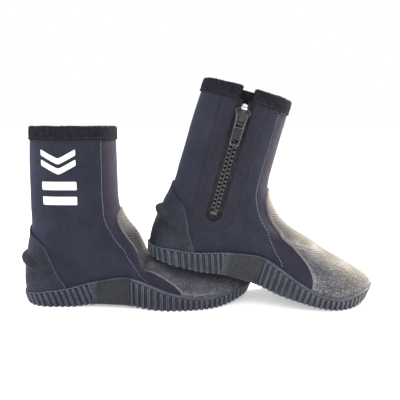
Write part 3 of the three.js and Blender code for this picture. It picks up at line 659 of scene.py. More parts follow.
def speckled(name, base, spot, size):
    """Foam or fibre board, flecked with another tone."""
    t = Tree(name)
    fleck = t.ramp(t.cells(size), 0.15, 0.45, 1, 0)
    colour = t.mix(t.maths("MULTIPLY", fleck, 0.5), base, spot)
    t.bumps((t.cells(size), 0.15), (t.noise(0.6, 3), 0.08))
    return t.finish(colour, 0.9, specular=0.2)


def printed(name):
    """White rubbery ink that lets a little of the knit through."""
    t = Tree(name)
    thin = t.ramp(t.noise(0.7, 3), 0.6, 0.8)
    colour = t.mix(thin, (250, 250, 250), (214, 216, 222))
    t.bumps((t.stripes("X", KNIT.wale), 0.03), (t.noise(0.5, 2), 0.04))
    return t.finish(colour, 0.6, specular=0.4)


LOOK = SimpleNamespace(
    neoprene=knitted("neoprene_navy", (34, 36, 48), (46, 48, 62), 0.48, (124, 124, 150)),
    front=knitted("neoprene_plum", (35, 35, 47), (47, 46, 61), 0.4, (160, 150, 175)),
    facing=knitted("facing_plum", (34, 34, 45), (44, 43, 55), 0.45, (142, 138, 162)),
    lining=ribbed_cloth("lining_black", (22, 23, 28), (34, 35, 42), 1.1, 0.12, 0.3),
    binding=ribbed_cloth("binding_knit", (27, 26, 34), (42, 40, 49), 1.3, 0.18, 0.6),
    # The toe and heel caps are one rubber: the toe's lighter, bluer base is painted light on the toe.
    toe=rubber("toe_rubber", (39, 43, 58), (56, 61, 79), (150, 142, 134), 1.3, 0.6, (0.12, 0.75), 0.36),
    heel=rubber("heel_rubber", (15, 20, 31), (23, 30, 43), (68, 78, 98), 1.3, 0.7, (0.12, 0.35), 0.0),
    # Painted shade on the sole's waist, between the wavy lines.
    sole=rubber("sole_rubber", (29, 33, 44), (45, 49, 62), (130, 135, 152), 1.8, 0.58, (0.1, 0.1),
                painted_shade_span=(WAVES_FROM, WAVES_TO)),
    thread=ribbed_cloth("thread_pale", (104, 106, 118), (150, 150, 160), 0.5, 0.05, 0.6),
    dark_thread=ribbed_cloth("thread_dark", (52, 52, 62), (74, 74, 84), 0.5, 0.05, 0.4),
    tape=ribbed_cloth("zip_tape", (38, 37, 41), (53, 50, 55), 0.8, 0.12, 0.4),
    teeth=moulded("zip_teeth", (20, 20, 25), (46, 46, 53), 0.28, edge_wear_and_highlight=(112, 112, 120)),
    slider=moulded("slider_paint", (7, 7, 10), (17, 17, 22), 0.34, edge_wear_and_highlight=(96, 96, 104)),
    # A lighter copy of the slider's paint for the raised rims of the slider and pull: painted highlight.
    rim=moulded("slider_edge", (34, 34, 40), (66, 66, 74), 0.25, edge_wear_and_highlight=(150, 150, 160), specular=0.45),
    chrome=moulded("slider_crown", (190, 192, 195), (225, 226, 228), 0.12, metallic=1.0),
    foam=speckled("footbed_foam", (50, 52, 57), (88, 92, 98), 2.2),
    board=speckled("fibre_board", (128, 120, 104), (160, 152, 132), 1.6),
    ink=printed("white_ink"),
)


# ---- panels ----
SEAM_ROLL = 2.2  # how far from a seam the neoprene starts to turn in
SEAM_DEPTH = 1.1
SEAM_GAP = 0.06
FACING_RISE = 0.5  # how far the zip's surround stands out from the panel beside it


def roll(distance, reach, depth):
    """How far a rounded edge falls at a distance from it."""
    share = np.clip(distance / reach, 0, 1)
    return -depth * (1 - np.sqrt(1 - (1 - share) ** 2))


def edge_fall(points, sides, reach, depth):
    """The fall of a grid's face towards its named sides."""
    across, up = lengths(points, 1), lengths(points, 0)
    away = {
        "left": across, "right": across[:, -1:] - across,
        "bottom": up, "top": up[-1:] - up,
    }
    return sum(roll(away[side], reach, depth) for side in sides)


def layer(a, v, outside, inside):
    """A closed sheet over a grid of angles and levels, between two heights off the upper."""
    return sheet(skin(a, v, outside), skin(a, v, inside))


def panel(a, v):
    """The neoprene over a grid, rounded down at its left and right."""
    fall = edge_fall(skin(a, v), ("left", "right"), SEAM_ROLL, SEAM_DEPTH)
    return layer(a, v, fall, -NEOPRENE)


def inner_side(x, z):
    a, v = from_side(x, z)
    return 2 * np.pi - a, v


def between(first, second, shares):
    """Grid of angles and levels between two lines of them."""
    return tuple(lerp(p[:, None], q[:, None], shares[None]) for p, q in zip(first, second))


def resampled(a, v, count):
    """The same line of angles and levels with evenly spaced points."""
    length = lengths(surface(a, v), 0)
    at = np.linspace(0, length[-1], count)
    return np.interp(at, length, a), np.interp(at, length, v)


STRAIGHT, ARC = 90, 61  # stations down a side of the U round the zip, and round its foot


def zip_u(half_top, half_bottom, arc_centre):
    """The U round the zip, from its front top to its rear top, as angles and levels."""
    z = np.linspace(float(FRONT_Z(PANEL_TOP)), arc_centre, STRAIGHT, endpoint=False)
    half = lerp(half_bottom, half_top, (z - arc_centre) / (CUFF_TOP - arc_centre))
    turn = np.linspace(0, np.pi, ARC)
    x = np.r_[ZIP.x + half, ZIP.x + half_bottom * np.cos(turn), (ZIP.x - half)[::-1]]
    return inner_side(x, np.r_[z, arc_centre - half_bottom * np.sin(turn), z[::-1]])


def inner_quarter_rim():
    """The inner quarter's outline at the zip U's stations: front seam, sole edge and back seam."""
    corner = ARC // 4
    v = levels(0, PANEL_TOP, 300)
    front = resampled(2 * np.pi - seam_angle(v[::-1]), v[::-1], STRAIGHT + corner)
    low = np.linspace(2 * np.pi - seam_angle(0), 2 * np.pi, 200)
    bottom = resampled(low, low * 0, ARC - 2 * corner + 2)
    back = resampled(np.full(300, 2 * np.pi), v, STRAIGHT + corner)
    return tuple(np.r_[f, b[1:-1], k] for f, b, k in zip(front, bottom, back))


def add_panel(boot, part, made, look, slot, node):
    """A panel with its lining on the inner face."""
    mesh, inner = made
    piece(boot, part, mesh, look, slot, stands_for=[node], second=(LOOK.lining, inner))


def add_panels(boot):
    v = levels(0, PANEL_TOP, 170)[:, None]
    edge = seam_angle(v) + sideways(-SEAM_GAP, v)
    front = seam_angle(v) + sideways(SEAM_GAP, v)
    made = panel(lerp(front, 2 * np.pi - front, eased(110)), v)
    add_panel(boot, "neoprene_front", made, LOOK.front, "neoprene", "front_panel")
    made = panel(lerp(sideways(SEAM_GAP, v), edge, eased(90)), v)
    add_panel(boot, "neoprene_outer", made, LOOK.neoprene, "neoprene", "outer_quarter")
    facing = zip_u(FACING.half_top, FACING.half_bottom, FACING.arc_centre)
    made = panel(*between(facing, inner_quarter_rim(), eased(60)))
    add_panel(boot, "neoprene_inner", made, LOOK.neoprene, "neoprene", "inner_quarter")
    slot = zip_u(ZIP.half_slot, ZIP.half_slot, ZIP.slot_bottom + ZIP.half_slot)
    a, v = between(slot, facing, eased(44))
    across = lengths(skin(a, v), 1)
    away = across[:, -1:] - across
    fall = roll(across, 2.4, 1.6) + roll(away, 1.6, 0.9)
    channels = -0.35 * (np.exp(-((across - 3.6) / 0.7) ** 2) + np.exp(-((away - 3.0) / 0.7) ** 2))
    made = layer(a, v, FACING_RISE + fall + channels, -NEOPRENE)
    add_panel(boot, "zip_surround", made, LOOK.facing, "facing", "zip_facing")


# ---- rubber caps ----
RIB_STEP = 2.9  # the fine ribs over the instep
RIB_RISE = 0.42
INSTEP_FILL = 1.8  # how much fuller the left boot's instep is
CAP_SINK = 2.0  # how far a cap runs down inside the sole's rim
LUG_WING = math.radians(48)  # how far round the heel the lug's wings reach
BEAD = 0.45
PEBBLE = 0.085
CAP_EDGE = SimpleNamespace(sides=("left", "right", "top"), reach=1.4, depth=1.3)


def pebbles(shape, seed, rise):
    """A smoothed random face for the moulded stipple."""
    field = np.random.default_rng(seed).normal(size=shape)
    for axis in (0, 1):
        field = (np.roll(field, 1, axis) + 2 * field + np.roll(field, -1, axis)) / 4
    return rise * np.clip(field / field.std(), -2, 2.5)


def sunk_level(angle_of, start=1.6):
    """Where a cap's columns end inside the rim; angle_of gives their angles at a level."""
    v = np.full(np.shape(angle_of(start)), start)
    for _ in range(8):
        v = rim_level(angle_of(v)) - CAP_SINK / 14
    return v


def from_ends(points):
    """Distance along a grid's rows from the nearer end."""
    across = lengths(points, 1)
    return np.minimum(across, across[:, -1:] - across)


def bead(distance):
    """The raised line just inside a cap's edge."""
    return BEAD * np.exp(-((distance - 1.5) / 0.8) ** 2)


def add_toe_cap(boot):
    across = np.linspace(-1, 1, 112)

    def angle_of(v):
        return np.pi - across * (np.pi - toe_angle(v))

    top = from_side(*TOE_EDGE[0])[1]
    fine = np.linspace(0, top, 300)
    front = lengths(surface(np.pi, fine), 0)
    low = np.interp(sunk_level(angle_of), fine, front)
    rows = np.r_[np.linspace(0, 0.48, 100, endpoint=False), np.linspace(0.48, 1, 224)]
    distance = lerp(low[None], front[-1], rows[:, None])
    v = np.interp(distance, front, fine)
    a = np.pi - across * (np.pi - toe_angle(v))
    flat = skin(a, v)
    away = from_ends(flat)
    ribs = smooth(4.4, 6.0, v) * smooth(1.5, 5, away)
    face = RIB_RISE * ribs * np.cos(distance * 2 * np.pi / RIB_STEP)
    face = face + pebbles(v.shape, 5, PEBBLE) * (1 - 0.7 * ribs) + bead(away)
    outer = CAP_GAP + OVERLAY + face + edge_fall(flat, **vars(CAP_EDGE))
    if boot.name == "left":
        instep = smooth(4.6, 5.8, v) * (1 - smooth(7.3, 8.3, v))
        outer = outer + INSTEP_FILL * instep * np.cos(across * np.pi / 2)
    made, _ = layer(a, v, outer, 0.05)
    piece(boot, "toe_rubber", made, LOOK.toe, "cap_rubber", stands_for=["toe_cap"])


def add_heel_cap(boot):
    top = from_side(*HEEL_EDGE[0])[1]
    corner = heel_angle(1.6)
    r = np.linspace(0, 1, 170)[:, None]
    c = np.linspace(0, 1, 150)[None]
    soft_corner = math.radians(9)

    def low(a):
        return rim_level(np.minimum(np.abs(a), corner)) - CAP_SINK / 14

    level = lerp(low(np.array(corner)), top, r)
    reach_in = np.maximum(heel_angle_inner(level), soft_corner)
    reach_out = np.maximum(heel_angle(level), soft_corner)
    a = lerp(-reach_in, reach_out, c)
    v = lerp(low(a), top - 0.35 * (2 * c - 1) ** 2, r)
    flat = skin(a, v)
    away = from_ends(flat)
    turn = np.abs(a) / LUG_WING
    height = surface(a, v)[..., 2] - (LUG.height - LUG.drop * turn**1.6)
    below = np.where(height < 0, height / (LUG.half_height * 0.8), height / LUG.half_height)
    lug = LUG.reach * np.maximum(0, 1 - np.abs(below) ** 1.7) * np.maximum(0, 1 - turn**1.5)
    face = pebbles(v.shape, 9, PEBBLE) * (1 - smooth(0.2, 1.5, lug)) + lug
    lift = edge_fall(flat, **vars(CAP_EDGE)) + bead(away) + face
    made, _ = layer(a, v, CAP_GAP + OVERLAY + lift, 0.05)
    piece(boot, "heel_rubber", made, LOOK.heel, "cap_rubber", stands_for=["heel_cap"])


# ---- sole ----
STATIONS = 1440  # round the sole's edge; a multiple of 4
WALL_ROWS = 34
GROOVE = 3.0  # how deep the grooves between the ribs are
CREST = 0.8  # how far a rib stands out from the wall
HEEL_PITCH = 7.2  # from rib to rib at the heel, ahead of the waist, and in the wavy lines
FORE_PITCH = 6.5
WAVE_PITCH = 2.9
HEEL_RIBS_END = 96
FLARE = 3  # how far the sole's foot stands out from the upper
FLOOR_INSET = 6.0  # how far inside the foot the floor's rim and the tread's edge are
TREAD_INSET = 4.6
LIP_ARC = [(0.16, 0.2), (0.4, 0.55), (0.7, 0.75), (1, 0.5)]  # over the rim: share of the way in, rise
TREAD_PITCH = 9.0  # the chevron bars underneath
TREAD_DEPTH = 1.6


def arch(x):
    return 4.2 * smooth(66, 104, x) * (1 - smooth(132, 176, x))


def bevel(x):
    return -2 * np.maximum(0, 1 - x / 30) ** 2 - 2 * np.maximum(0, (x - 240) / 50) ** 2


def sole_foot(a, extra):
    """The sole's bottom edge, moved out by extra."""
    p = surface(a, 0)
    n = normal(a, 0.4)
    n[..., 2] = 0
    out = p + unit(n) * (FLARE + bevel(p[..., 0]) + extra)[..., None]
    out[..., 2] = arch(p[..., 0])
    return out


def phase_fall(phase, flat_top, depth):
    """A rib's profile: 0 on its top, at whole phases, and -depth in the grooves between."""
    off = np.abs((phase + 0.5) % 1 - 0.5)
    crown = -0.12 * depth * (off / 0.25) ** 2
    return np.maximum(crown - depth * smooth(flat_top, flat_top + 0.15, off), -depth)


def rib_relief(p, from_heel, to_toe, down):
    """How the ribbed wall stands proud or back at p, which is this far round the sole and below the rim."""
    x, z = p[..., 0], p[..., 2]
    slanted = (from_heel - 0.3 * down) / HEEL_PITCH
    pointed = lerp(0.02, 0.2, smooth(0.3, 4, down))
    heel = (CREST + phase_fall(slanted, pointed, GROOVE)) * smooth(0.2, 1.4, down)
    band = lerp(3.0, 0.8, smooth(255, 280, x))
    arched = np.abs((to_toe / FORE_PITCH + 0.5) % 1 - 0.5)
    slot = smooth(band - 0.2, band + 1.0, down + 2.2 * (arched - 0.5))
    fore = (CREST + phase_fall(to_toe / FORE_PITCH, 0.2, GROOVE)) * slot
    wavy = np.cos(2 * np.pi * (x + 0.75 * np.sin(z)) / WAVE_PITCH)
    waves = 0.45 * (wavy - 1) * smooth(1.5, 3, down)
    heel_share = 1 - smooth(HEEL_RIBS_END - 3, HEEL_RIBS_END, x)
    wave_share = smooth(WAVES_FROM - 1, WAVES_FROM + 1, x) * (1 - smooth(WAVES_TO - 1, WAVES_TO, x))
    fore_share = smooth(WAVES_TO, WAVES_TO + 2, x)
    ridge = 0.35 * np.exp(-((down - 1.2) / 0.7) ** 2)
    return heel * heel_share + waves * wave_share + fore * fore_share + ridge * (1 - heel_share)


def lip_height(x):
    """How far the sole's inner lip stands off the upper: further out where a cap goes inside it."""
    cap = smooth(202.5, 204, x) + 1 - smooth(66, 68, x)
    return lerp(0.12, CAP_GAP + OVERLAY + 0.1, np.clip(cap, 0, 1))


def sole_wall(a, from_heel, to_toe):
    """The outer wall's rows from rim to foot."""
    rim = rim_level(a)
    share = np.r_[0, 0.02, 0.05, np.linspace(0.085, 1, WALL_ROWS - 3)][:, None]
    tall = rim_height(surface(a, 1)[..., 0])
    top = surface(a, rim) + SOLE_WALL * normal(a, rim)
    plain = lerp(top, sole_foot(a, 0), share[..., None])
    # The ribs at the sides stand upright, so the distance round the sole is measured at each row.
    ahead = (plain[..., 0] - plain[:1, :, 0]) * np.abs(normal(a, rim)[:, 1])
    relief = rib_relief(plain, from_heel + ahead, to_toe - ahead, share * tall)
    corner = -0.7 * smooth(0.96, 1, share)
    out = unit(lerp(normal(a, rim), normal(a, 0.4), share[..., None]) * [1, 1, 0.2])
    return plain + (relief + corner)[..., None] * out


def sole_bottom(edge, columns=30):
    """The tread: chevron bars at the ball and heel, with a plain border, inside the edge given."""
    half = STATIONS // 2
    left = edge[: half + 1]
    right = edge[np.r_[0, np.arange(STATIONS - 1, half - 1, -1)]]
    t = eased(columns)[1:-1, None, None]
    p = lerp(left[1:-1], right[1:-1], t)
    x, y = p[..., 0], p[..., 1]
    border = np.minimum(np.linalg.norm(p - left[1:-1], axis=-1), np.linalg.norm(p - right[1:-1], axis=-1))
    off = np.abs(((x + 0.35 * np.abs(y)) / TREAD_PITCH) % 1 - 0.5)
    cut = TREAD_DEPTH * (1 - smooth(0.12, 0.24, off)) * smooth(3.5, 5, border)
    cut = cut * (1 - 0.6 * smooth(92, 104, x) * (1 - smooth(141, 150, x)))
    p[..., 2] = arch(x) + cut * smooth(8, 16, x) * (1 - smooth(274, 282, x))
    return p.transpose(1, 0, 2)


def sole_rings(a, from_heel, to_toe):
    """Closed rings from the floor inside, over the lip and down the wall to the tread's edge."""
    rim = rim_level(a)
    lip = lip_height(surface(a, rim)[:, 0])
    top = [
        surface(a, rim) + lerp(SOLE_WALL, lip, s)[:, None] * normal(a, rim) + np.array([0, 0, up])
        for s, up in LIP_ARC
    ]
    inside = surface(a, rim - 0.35) + (lip * 0.9)[:, None] * normal(a, rim - 0.35)
    floor = sole_foot(a, -FLOOR_INSET)
    floor[:, 2] = SOLE_PLATE
    return np.stack([floor, inside, *top[::-1], *sole_wall(a, from_heel, to_toe), sole_foot(a, -TREAD_INSET)])


def floor_faces():
    """Strips across the sole's first ring."""
    half = STATIONS // 2
    faces = [[i, (STATIONS - i) % STATIONS, STATIONS - i - 1, i + 1] for i in range(1, half - 1)]
    return faces + [[0, STATIONS - 1, 1], [half - 1, half + 1, half]]


def tread_faces(last, grid):
    """The bottom's faces, from the last ring, whose first point is this one, over the grid after it."""
    half = STATIONS // 2
    inner = last + STATIONS + np.arange(grid.shape[0] * grid.shape[1]).reshape(grid.shape[:2])
    left = last + np.arange(1, half)[:, None]
    right = last + np.arange(STATIONS - 1, half, -1)[:, None]
    index = np.concatenate([left, inner, right], 1)
    quads = np.stack([index[:-1, :-1], index[1:, :-1], index[1:, 1:], index[:-1, 1:]], -1)
    columns = range(index.shape[1] - 1)
    heel = [[last, *index[0, [k, k + 1]]] for k in columns]
    toe = [[last + half, *index[-1, [k + 1, k]]] for k in columns]
    return quads.reshape(-1, 4).tolist() + heel + toe


def add_outsole(boot):
    a = even_angles(STATIONS)
    length = ROUND_SOLE[-1]
    place = np.arange(STATIONS) / STATIONS * length
    toe_at = np.interp(np.pi, a, place)
    outer_side = a <= np.pi
    from_heel = np.where(outer_side, place, length - place)
    to_toe = np.where(outer_side, toe_at - place, place - toe_at)
    rings = sole_rings(a, from_heel, to_toe)
    grid = sole_bottom(rings[-1])
    faces = grid_faces(len(rings), STATIONS, around=True) + floor_faces()
    faces += tread_faces((len(rings) - 1) * STATIONS, grid)
    points = np.concatenate([rings.reshape(-1, 3), grid.reshape(-1, 3)])
    made = (points, faces, points[:, :2].copy())
    piece(boot, "ribbed_sole", made, LOOK.sole, "sole_rubber", stands_for=["outsole"])


def add_inner_soles(boot):
    """The fibre board and the foam footbed on it, with rounded edges."""
    a = even_angles(240)
    for part, level, inset, low, high, round_by, look, slot, node in (
        ("fibre_board", 0.1, NEOPRENE + 3.5, 5.7, 7.2, 0.5, LOOK.board, "board", "insole_board"),
        ("footbed_foam", 0.6, NEOPRENE + 4, 7.6, 11.2, 1.6, LOOK.foam, "foam", "footbed"),
    ):
        base = surface(a, level) - inset * normal(a, level)
        middle = base.mean(0)
        rings = []
        turns = np.linspace(-np.pi / 2, np.pi / 2, 9)
        for s, rise in [(0.5, 0)] + [(1, t) for t in turns] + [(0.8, 1), (0.5, 2), (0.2, 3)]:
            ring = base.copy()
            pull = round_by * (1 - math.cos(rise)) if s == 1 else 0
            ring[:, :2] = middle[:2] + (base[:, :2] - middle[:2]) * s
            ring[:, :2] -= unit(base[:, :2] - middle[:2]) * pull
            ring[:, 2] = lerp(low, high, (math.sin(rise) + 1) / 2 if s == 1 else float(rise > 0))
            rings.append(ring)
        points = np.concatenate(rings)
        made = (points, rod_faces(len(rings), len(a)), points[:, :2].copy())
        obj = piece(boot, part, made, look, slot, stands_for=[node])


# ---- cuff binding ----
BINDING_STATIONS = 760
LOOPS = 110


def cuff_path(count):
    """Angles round the cuff from one side of the zip opening to the other, and the way out there."""
    start = float(inner_side(ZIP.x - BINDING.opening, CUFF_TOP)[0])
    end = float(inner_side(ZIP.x + BINDING.opening, CUFF_TOP)[0])
    a = np.linspace(start - 2 * np.pi, end, count)
    out = normal(a, TOP - 0.3)
    out[:, 2] = 0
    return a, unit(out)


def binding_profile():
    """The folded tape's section, as (height outside the neoprene, height above the cuff's top)."""
    out, thick = BINDING.thick + 0.3, BINDING.thick
    low, inner_low = -BINDING.outside, -BINDING.inside
    outer = [(0.4, low + 0.5), (0.5, low), (out, low - 0.1), (out + 0.35, low + 0.6), (out + 0.3, low + 1.4)]
    outer += [(out - 0.25, low + 2.6), (out, low + 3.6), (out + 0.25, low + 6), (out + 0.3, low + 9)]
    outer += [(out + 0.15, low + 11.5), (out, -2.9)]
    turn = np.linspace(0, np.pi, 13)
    inside = -NEOPRENE - 0.9 - thick
    crown = [(lerp(inside, out, (1 + math.cos(t)) / 2), -2.5 + 2.3 * math.sin(t)) for t in turn]
    inner = [(inside, -5), (inside, inner_low), (inside + 0.6, inner_low - 0.3), (inside + thick, inner_low)]
    inner += [(inside + thick, -thick - 1.2), (-NEOPRENE, -thick), (0, -thick), (0.35, -thick - 1.5)]
    return np.array(outer + crown + inner, float)


def add_binding(boot):
    profile = binding_profile()
    a, out = cuff_path(BINDING_STATIONS)
    height, drop = profile[:, 0][None], profile[:, 1][None]
    x = surface(a, TOP)[:, 0][:, None]
    level = from_side(x + 0 * drop, CUFF_TOP + np.minimum(drop, 0))[1]
    p = surface(a[:, None] + 0 * drop, level)
    around = lengths(surface(a, TOP), 0)[:, None]
    outside = (height > 0.5) & (drop < -1)
    ribs = 0.07 * np.cos(around * 2 * np.pi / 1.7) + 0.16 * np.sin(around / 7.0) + 0.1 * np.sin(around / 3.1)
    soften = 1 - smooth(0, 2.2, np.minimum(around, around[-1] - around))
    p = p + out[:, None] * (height + ribs * outside - 0.8 * soften * outside)[..., None]
    p[..., 2] = CUFF_TOP + drop + 0.22 * np.sin(around / 5.3) * (drop > -2) - 1.2 * soften * (drop > -2)
    down = lengths(profile[None], 1)[0]
    uv = np.stack(np.broadcast_arrays(around, down[None]), -1).reshape(-1, 2)
    made = (p.reshape(-1, 3), rod_faces(BINDING_STATIONS, len(profile)), uv)
    piece(boot, "cuff_knit", made, LOOK.binding, "binding", stands_for=["cuff_binding"])


def add_loops(boot):
    """Loose yarn loops that stand up along the cuff's top edge."""
    random = np.random.default_rng(3)
    a, out = cuff_path(1200)
    pick = np.sort(random.choice(np.arange(20, 1180), LOOPS, replace=False))
    turn = np.linspace(0.1, np.pi - 0.1, 7)
    p = surface(a, TOP)
    along = unit(np.gradient(p, axis=0))
    size = random.uniform(0.35, 0.85, LOOPS)[:, None]
    lean = random.uniform(-1, 1, (LOOPS, 1))
    base = p[pick] + out[pick] * random.uniform(-3.5, 0.8, (LOOPS, 1))
    across = unit(along[pick] + 0.6 * lean * out[pick])
    centres = base[:, None] + across[:, None] * (size * np.cos(turn))[..., None]
    centres[..., 2] = CUFF_TOP - 0.7 + 1.3 * size * np.sin(turn)
    away = np.broadcast_to(out[pick][:, None], centres.shape)
    made = tubes(centres, np.full(centres.shape[:2], 0.13), 5, away)
    piece(boot, "cuff_loops", made, LOOK.binding, "binding")


# ---- stitching ----
def sew(p, side, away, length, gap, radius, rise, sink, zigzag=0.0, start=1):
    """Stitches along a line of points; side and away are the directions across it and off the cloth.

    A stitch's ends are sunk in the cloth by sink, and its middle is higher than them by rise. It slants
    to one side and the other in turn by zigzag.
    """
    reach = lengths(p, 0)
    starts = np.arange(start, reach[-1] - length - start, length + gap)
    share = np.linspace(0, 1, 7)
    at = starts[:, None] + length * share[None]

    def pick(values):
        return np.stack([np.interp(at, reach, values[:, k]) for k in range(3)], -1)

    hump = np.sin(np.pi * share)
    swing = zigzag * (2 * share - 1)[None] * np.where(np.arange(len(starts)) % 2, 1, -1)[:, None]
    off = pick(away)
    centres = pick(p) + pick(side) * swing[..., None] + off * (rise * hump - sink)[None, :, None]
    radii = np.broadcast_to(radius * (0.45 + 0.55 * hump), at.shape)
    return tubes(centres, radii, 6, off)


def stitch_row(a, v, height, length, gap, radius, zigzag=0.0):
    """Stitches along a line of angles and levels."""
    p, n = skin(a, v, height), normal(a, v)
    side = np.cross(n, unit(np.gradient(p, axis=0)))
    return sew(p, side, n, length, gap, radius, rise=0.75 * radius, sink=0.35 * radius, zigzag=zigzag)


UNDER_BINDING = 10.67  # the level where the binding's lower edge hides the stitching
HEM = 2.6  # how far above the binding's lower edge its own stitches run


def front_seam_rows():
    v = levels(1.2, UNDER_BINDING, 400)
    for sign in (1, -1):
        kept = v[v > rim_level(seam_angle(v) * sign) + 0.12]
        a = (sign * seam_angle(kept)) % (2 * np.pi)
        yield stitch_row(a, kept, height=0.05, length=2.1, gap=1.1, radius=0.42, zigzag=0.5)


def zip_surround_rows():
    slot_line = (ZIP.half_slot + 3.6, ZIP.half_slot + 3.6, ZIP.slot_bottom + ZIP.half_slot)
    edge_line = (FACING.half_top - 3, FACING.half_bottom - 3, FACING.arc_centre)
    for line in (slot_line, edge_line):
        a, v = zip_u(*line)
        kept = v < UNDER_BINDING
        yield stitch_row(a[kept], v[kept], height=0.3, length=2.4, gap=0.6, radius=0.26)


def back_seam_row():
    v = levels(7.0, UNDER_BINDING, 200)
    return stitch_row(0 * v, v, height=-0.4, length=1.9, gap=0.25, radius=0.28, zigzag=1.1)


def cuff_row():
    a, out = cuff_path(900)
    z = CUFF_TOP - BINDING.outside + HEM
    p = surface(a, from_side(surface(a, TOP)[:, 0], z)[1]) + out * (BINDING.thick + 0.3)
    p[:, 2] = z
    return sew(p, out, out, length=2.5, gap=0.6, radius=0.24, rise=0.2, sink=0.12, start=2.5)


def add_stitching(boot):
    for part, made, look in (
        ("front_seam_stitches", joined(front_seam_rows()), LOOK.thread),
        ("back_seam_stitches", back_seam_row(), LOOK.dark_thread),
        ("zip_surround_stitches", joined(zip_surround_rows()), LOOK.dark_thread),
        ("cuff_stitches", cuff_row(), LOOK.dark_thread),
    ):
        piece(boot, part, made, look, "tape")


# ---- strips inside, and the printed mark ----
def add_inside(boot):
    v = levels(0.6, 9.6, 120)[:, None]
    for side, sign in (("outer", 1), ("inner", -1)):
        a = sign * (seam_angle(v) + sideways(1, v) * np.linspace(-4.5, 4.5, 13))
        flat = skin(a, v)
        fall = edge_fall(flat, ("left", "right"), 0.8, 0.4)
        made, _ = layer(a, v, -NEOPRENE - 0.05, -NEOPRENE - 0.8 - fall)
        piece(boot, f"inside_tape_{side}", made, LOOK.tape, "tape", stands_for=[f"seam_tape_{side}"])
    z = np.linspace(60, 217, 124)[:, None]
    x = ZIP.x + np.linspace(-21, 21, 60)
    a, v = inner_side(x + 0 * z, z + 0 * x)
    folds = 0.5 * np.sin((x - ZIP.x) / 3.4) * np.exp(-(((x - ZIP.x) / 9) ** 2)) + 0 * z
    made, _ = layer(a, v, folds - NEOPRENE - 0.7, folds - NEOPRENE - 1.7)
    piece(boot, "zip_backing", made, LOOK.lining, "lining", stands_for=["zip_gusset"])


MARK = SimpleNamespace(x=60, half_width=21, rise=0.28, slope=0.55)


def add_mark(boot):
    """The generic mark: two chevrons over two bars, printed on the outer side."""
    x = MARK.x + MARK.half_width * np.linspace(-1, 1, 90)
    point = MARK.slope * (np.sqrt((x - MARK.x) ** 2 + 4) - 2)
    end = np.sqrt(np.clip(1 - ((np.abs(x - MARK.x) - MARK.half_width + 1.5) / 1.5).clip(0, 1) ** 2, 0.1, 1))
    for part, base, tall, bent in (
        ("chevron_upper", 177, 7, 1), ("chevron_lower", 165, 7, 1),
        ("bar_upper", 146, 10, 0), ("bar_lower", 128, 10, 0),
    ):
        share = np.linspace(-0.5, 0.5, 22)[:, None]
        z = base + tall / 2 + bent * point + tall * share * lerp(0.75, 1, end)
        a, v = from_side(x + 0 * z, z)
        flat = skin(a, v)
        fall = edge_fall(flat, ("left", "right", "top", "bottom"), 0.5, 0.2)
        made, _ = layer(a, v, MARK.rise + fall, -0.1)
        piece(boot, f"mark_{part}", made, LOOK.ink, "print", stands_for=[f"print_{part}"])


# ---- zip, in its own flat frame: x across, y up along the chain, z outwards ----
def zip_frame():
    """The zip's origin, its axes as rows, and its length."""
    ends = []
    for z in (ZIP.bottom, ZIP.top):
        a, v = inner_side(np.array(ZIP.x), np.array(z))
        ends.append(surface(a, v) - ZIP.depth * normal(a, v))
    up = ends[1] - ends[0]
    length = float(np.linalg.norm(up))
    up = up / length
    out = unit(np.cross(up, [1, 0, 0]))
    return ends[0], np.stack([np.cross(up, out), up, out]), length


ZIP_ORIGIN, ZIP_AXES, ZIP_LENGTH = zip_frame()
SLIDER = SimpleNamespace(length=17, foot=3, top=9.6, bottom=6.6, plate=1.4, under=1.9, bridge=6.2)
PULL = SimpleNamespace(length=36.5, width=13.6, thick=1.8, axis=5.7)
SLIDER_AT = (0, ZIP_LENGTH - SLIDER.length / 2 - 3, 0)
TEETH = SimpleNamespace(low=-1.1, high=1.6)  # the levels of their two faces
TAPE = SimpleNamespace(near=3.4, far=11.2, under=-0.4, top=0.35)
FOOT_PATCH = 10.8  # the radius of the patch under the zip's foot


def plate(outlines, low, high, bevel, matrix=None):
    """Flat plates with rounded edges from closed outlines; an outline inside another is a hole."""
    curve = bpy.data.curves.new("outline", "CURVE")
    curve.dimensions = "2D"
    curve.fill_mode = "BOTH"
    curve.extrude = (high - low) / 2 - bevel
    curve.bevel_depth = bevel
    curve.bevel_resolution = 2
    curve.offset = -bevel
    for outline in outlines:
        line = curve.splines.new("POLY")
        line.points.add(len(outline) - 1)
        line.points.foreach_set("co", np.array([(x, y, 0, 1) for x, y in outline], float).ravel())
        line.use_cyclic_u = True
    holder = bpy.data.objects.new("outline", curve)
    mesh = bpy.data.meshes.new_from_object(holder)
    work = bmesh.new()
    work.from_mesh(mesh)
    bmesh.ops.remove_doubles(work, verts=work.verts, dist=1e-4)
    points = np.array([v.co for v in work.verts], float) + [0, 0, (low + high) / 2]
    faces = [[v.index for v in f.verts] for f in work.faces]
    work.free()
    bpy.data.objects.remove(holder)
    bpy.data.curves.remove(curve)
    bpy.data.meshes.remove(mesh)
    if matrix is not None:
        points = points @ np.array(matrix, float).T
    return points, faces, points[:, :2].copy()


def in_zip(made, at=(0, 0, 0)):
    """A mesh in the zip's frame, moved to its place in the boot's frame."""
    points, faces, uv = made
    return (points + np.array(at)) @ ZIP_AXES + ZIP_ORIGIN, faces, uv


def rounded_box(width, height, low, high, bevel, corner=0.6, at=(0, 0)):
    """A plate with cut corners, centred on at."""
    w, h = width / 2, height / 2
    outline = [(-w + corner, -h), (w - corner, -h), (w, -h + corner), (w, h - corner)]
    outline += [(w - corner, h), (-w + corner, h), (-w, h - corner), (-w, -h + corner)]
    points, faces, uv = plate([outline], low, high, bevel)
    return points + [*at, 0], faces, uv


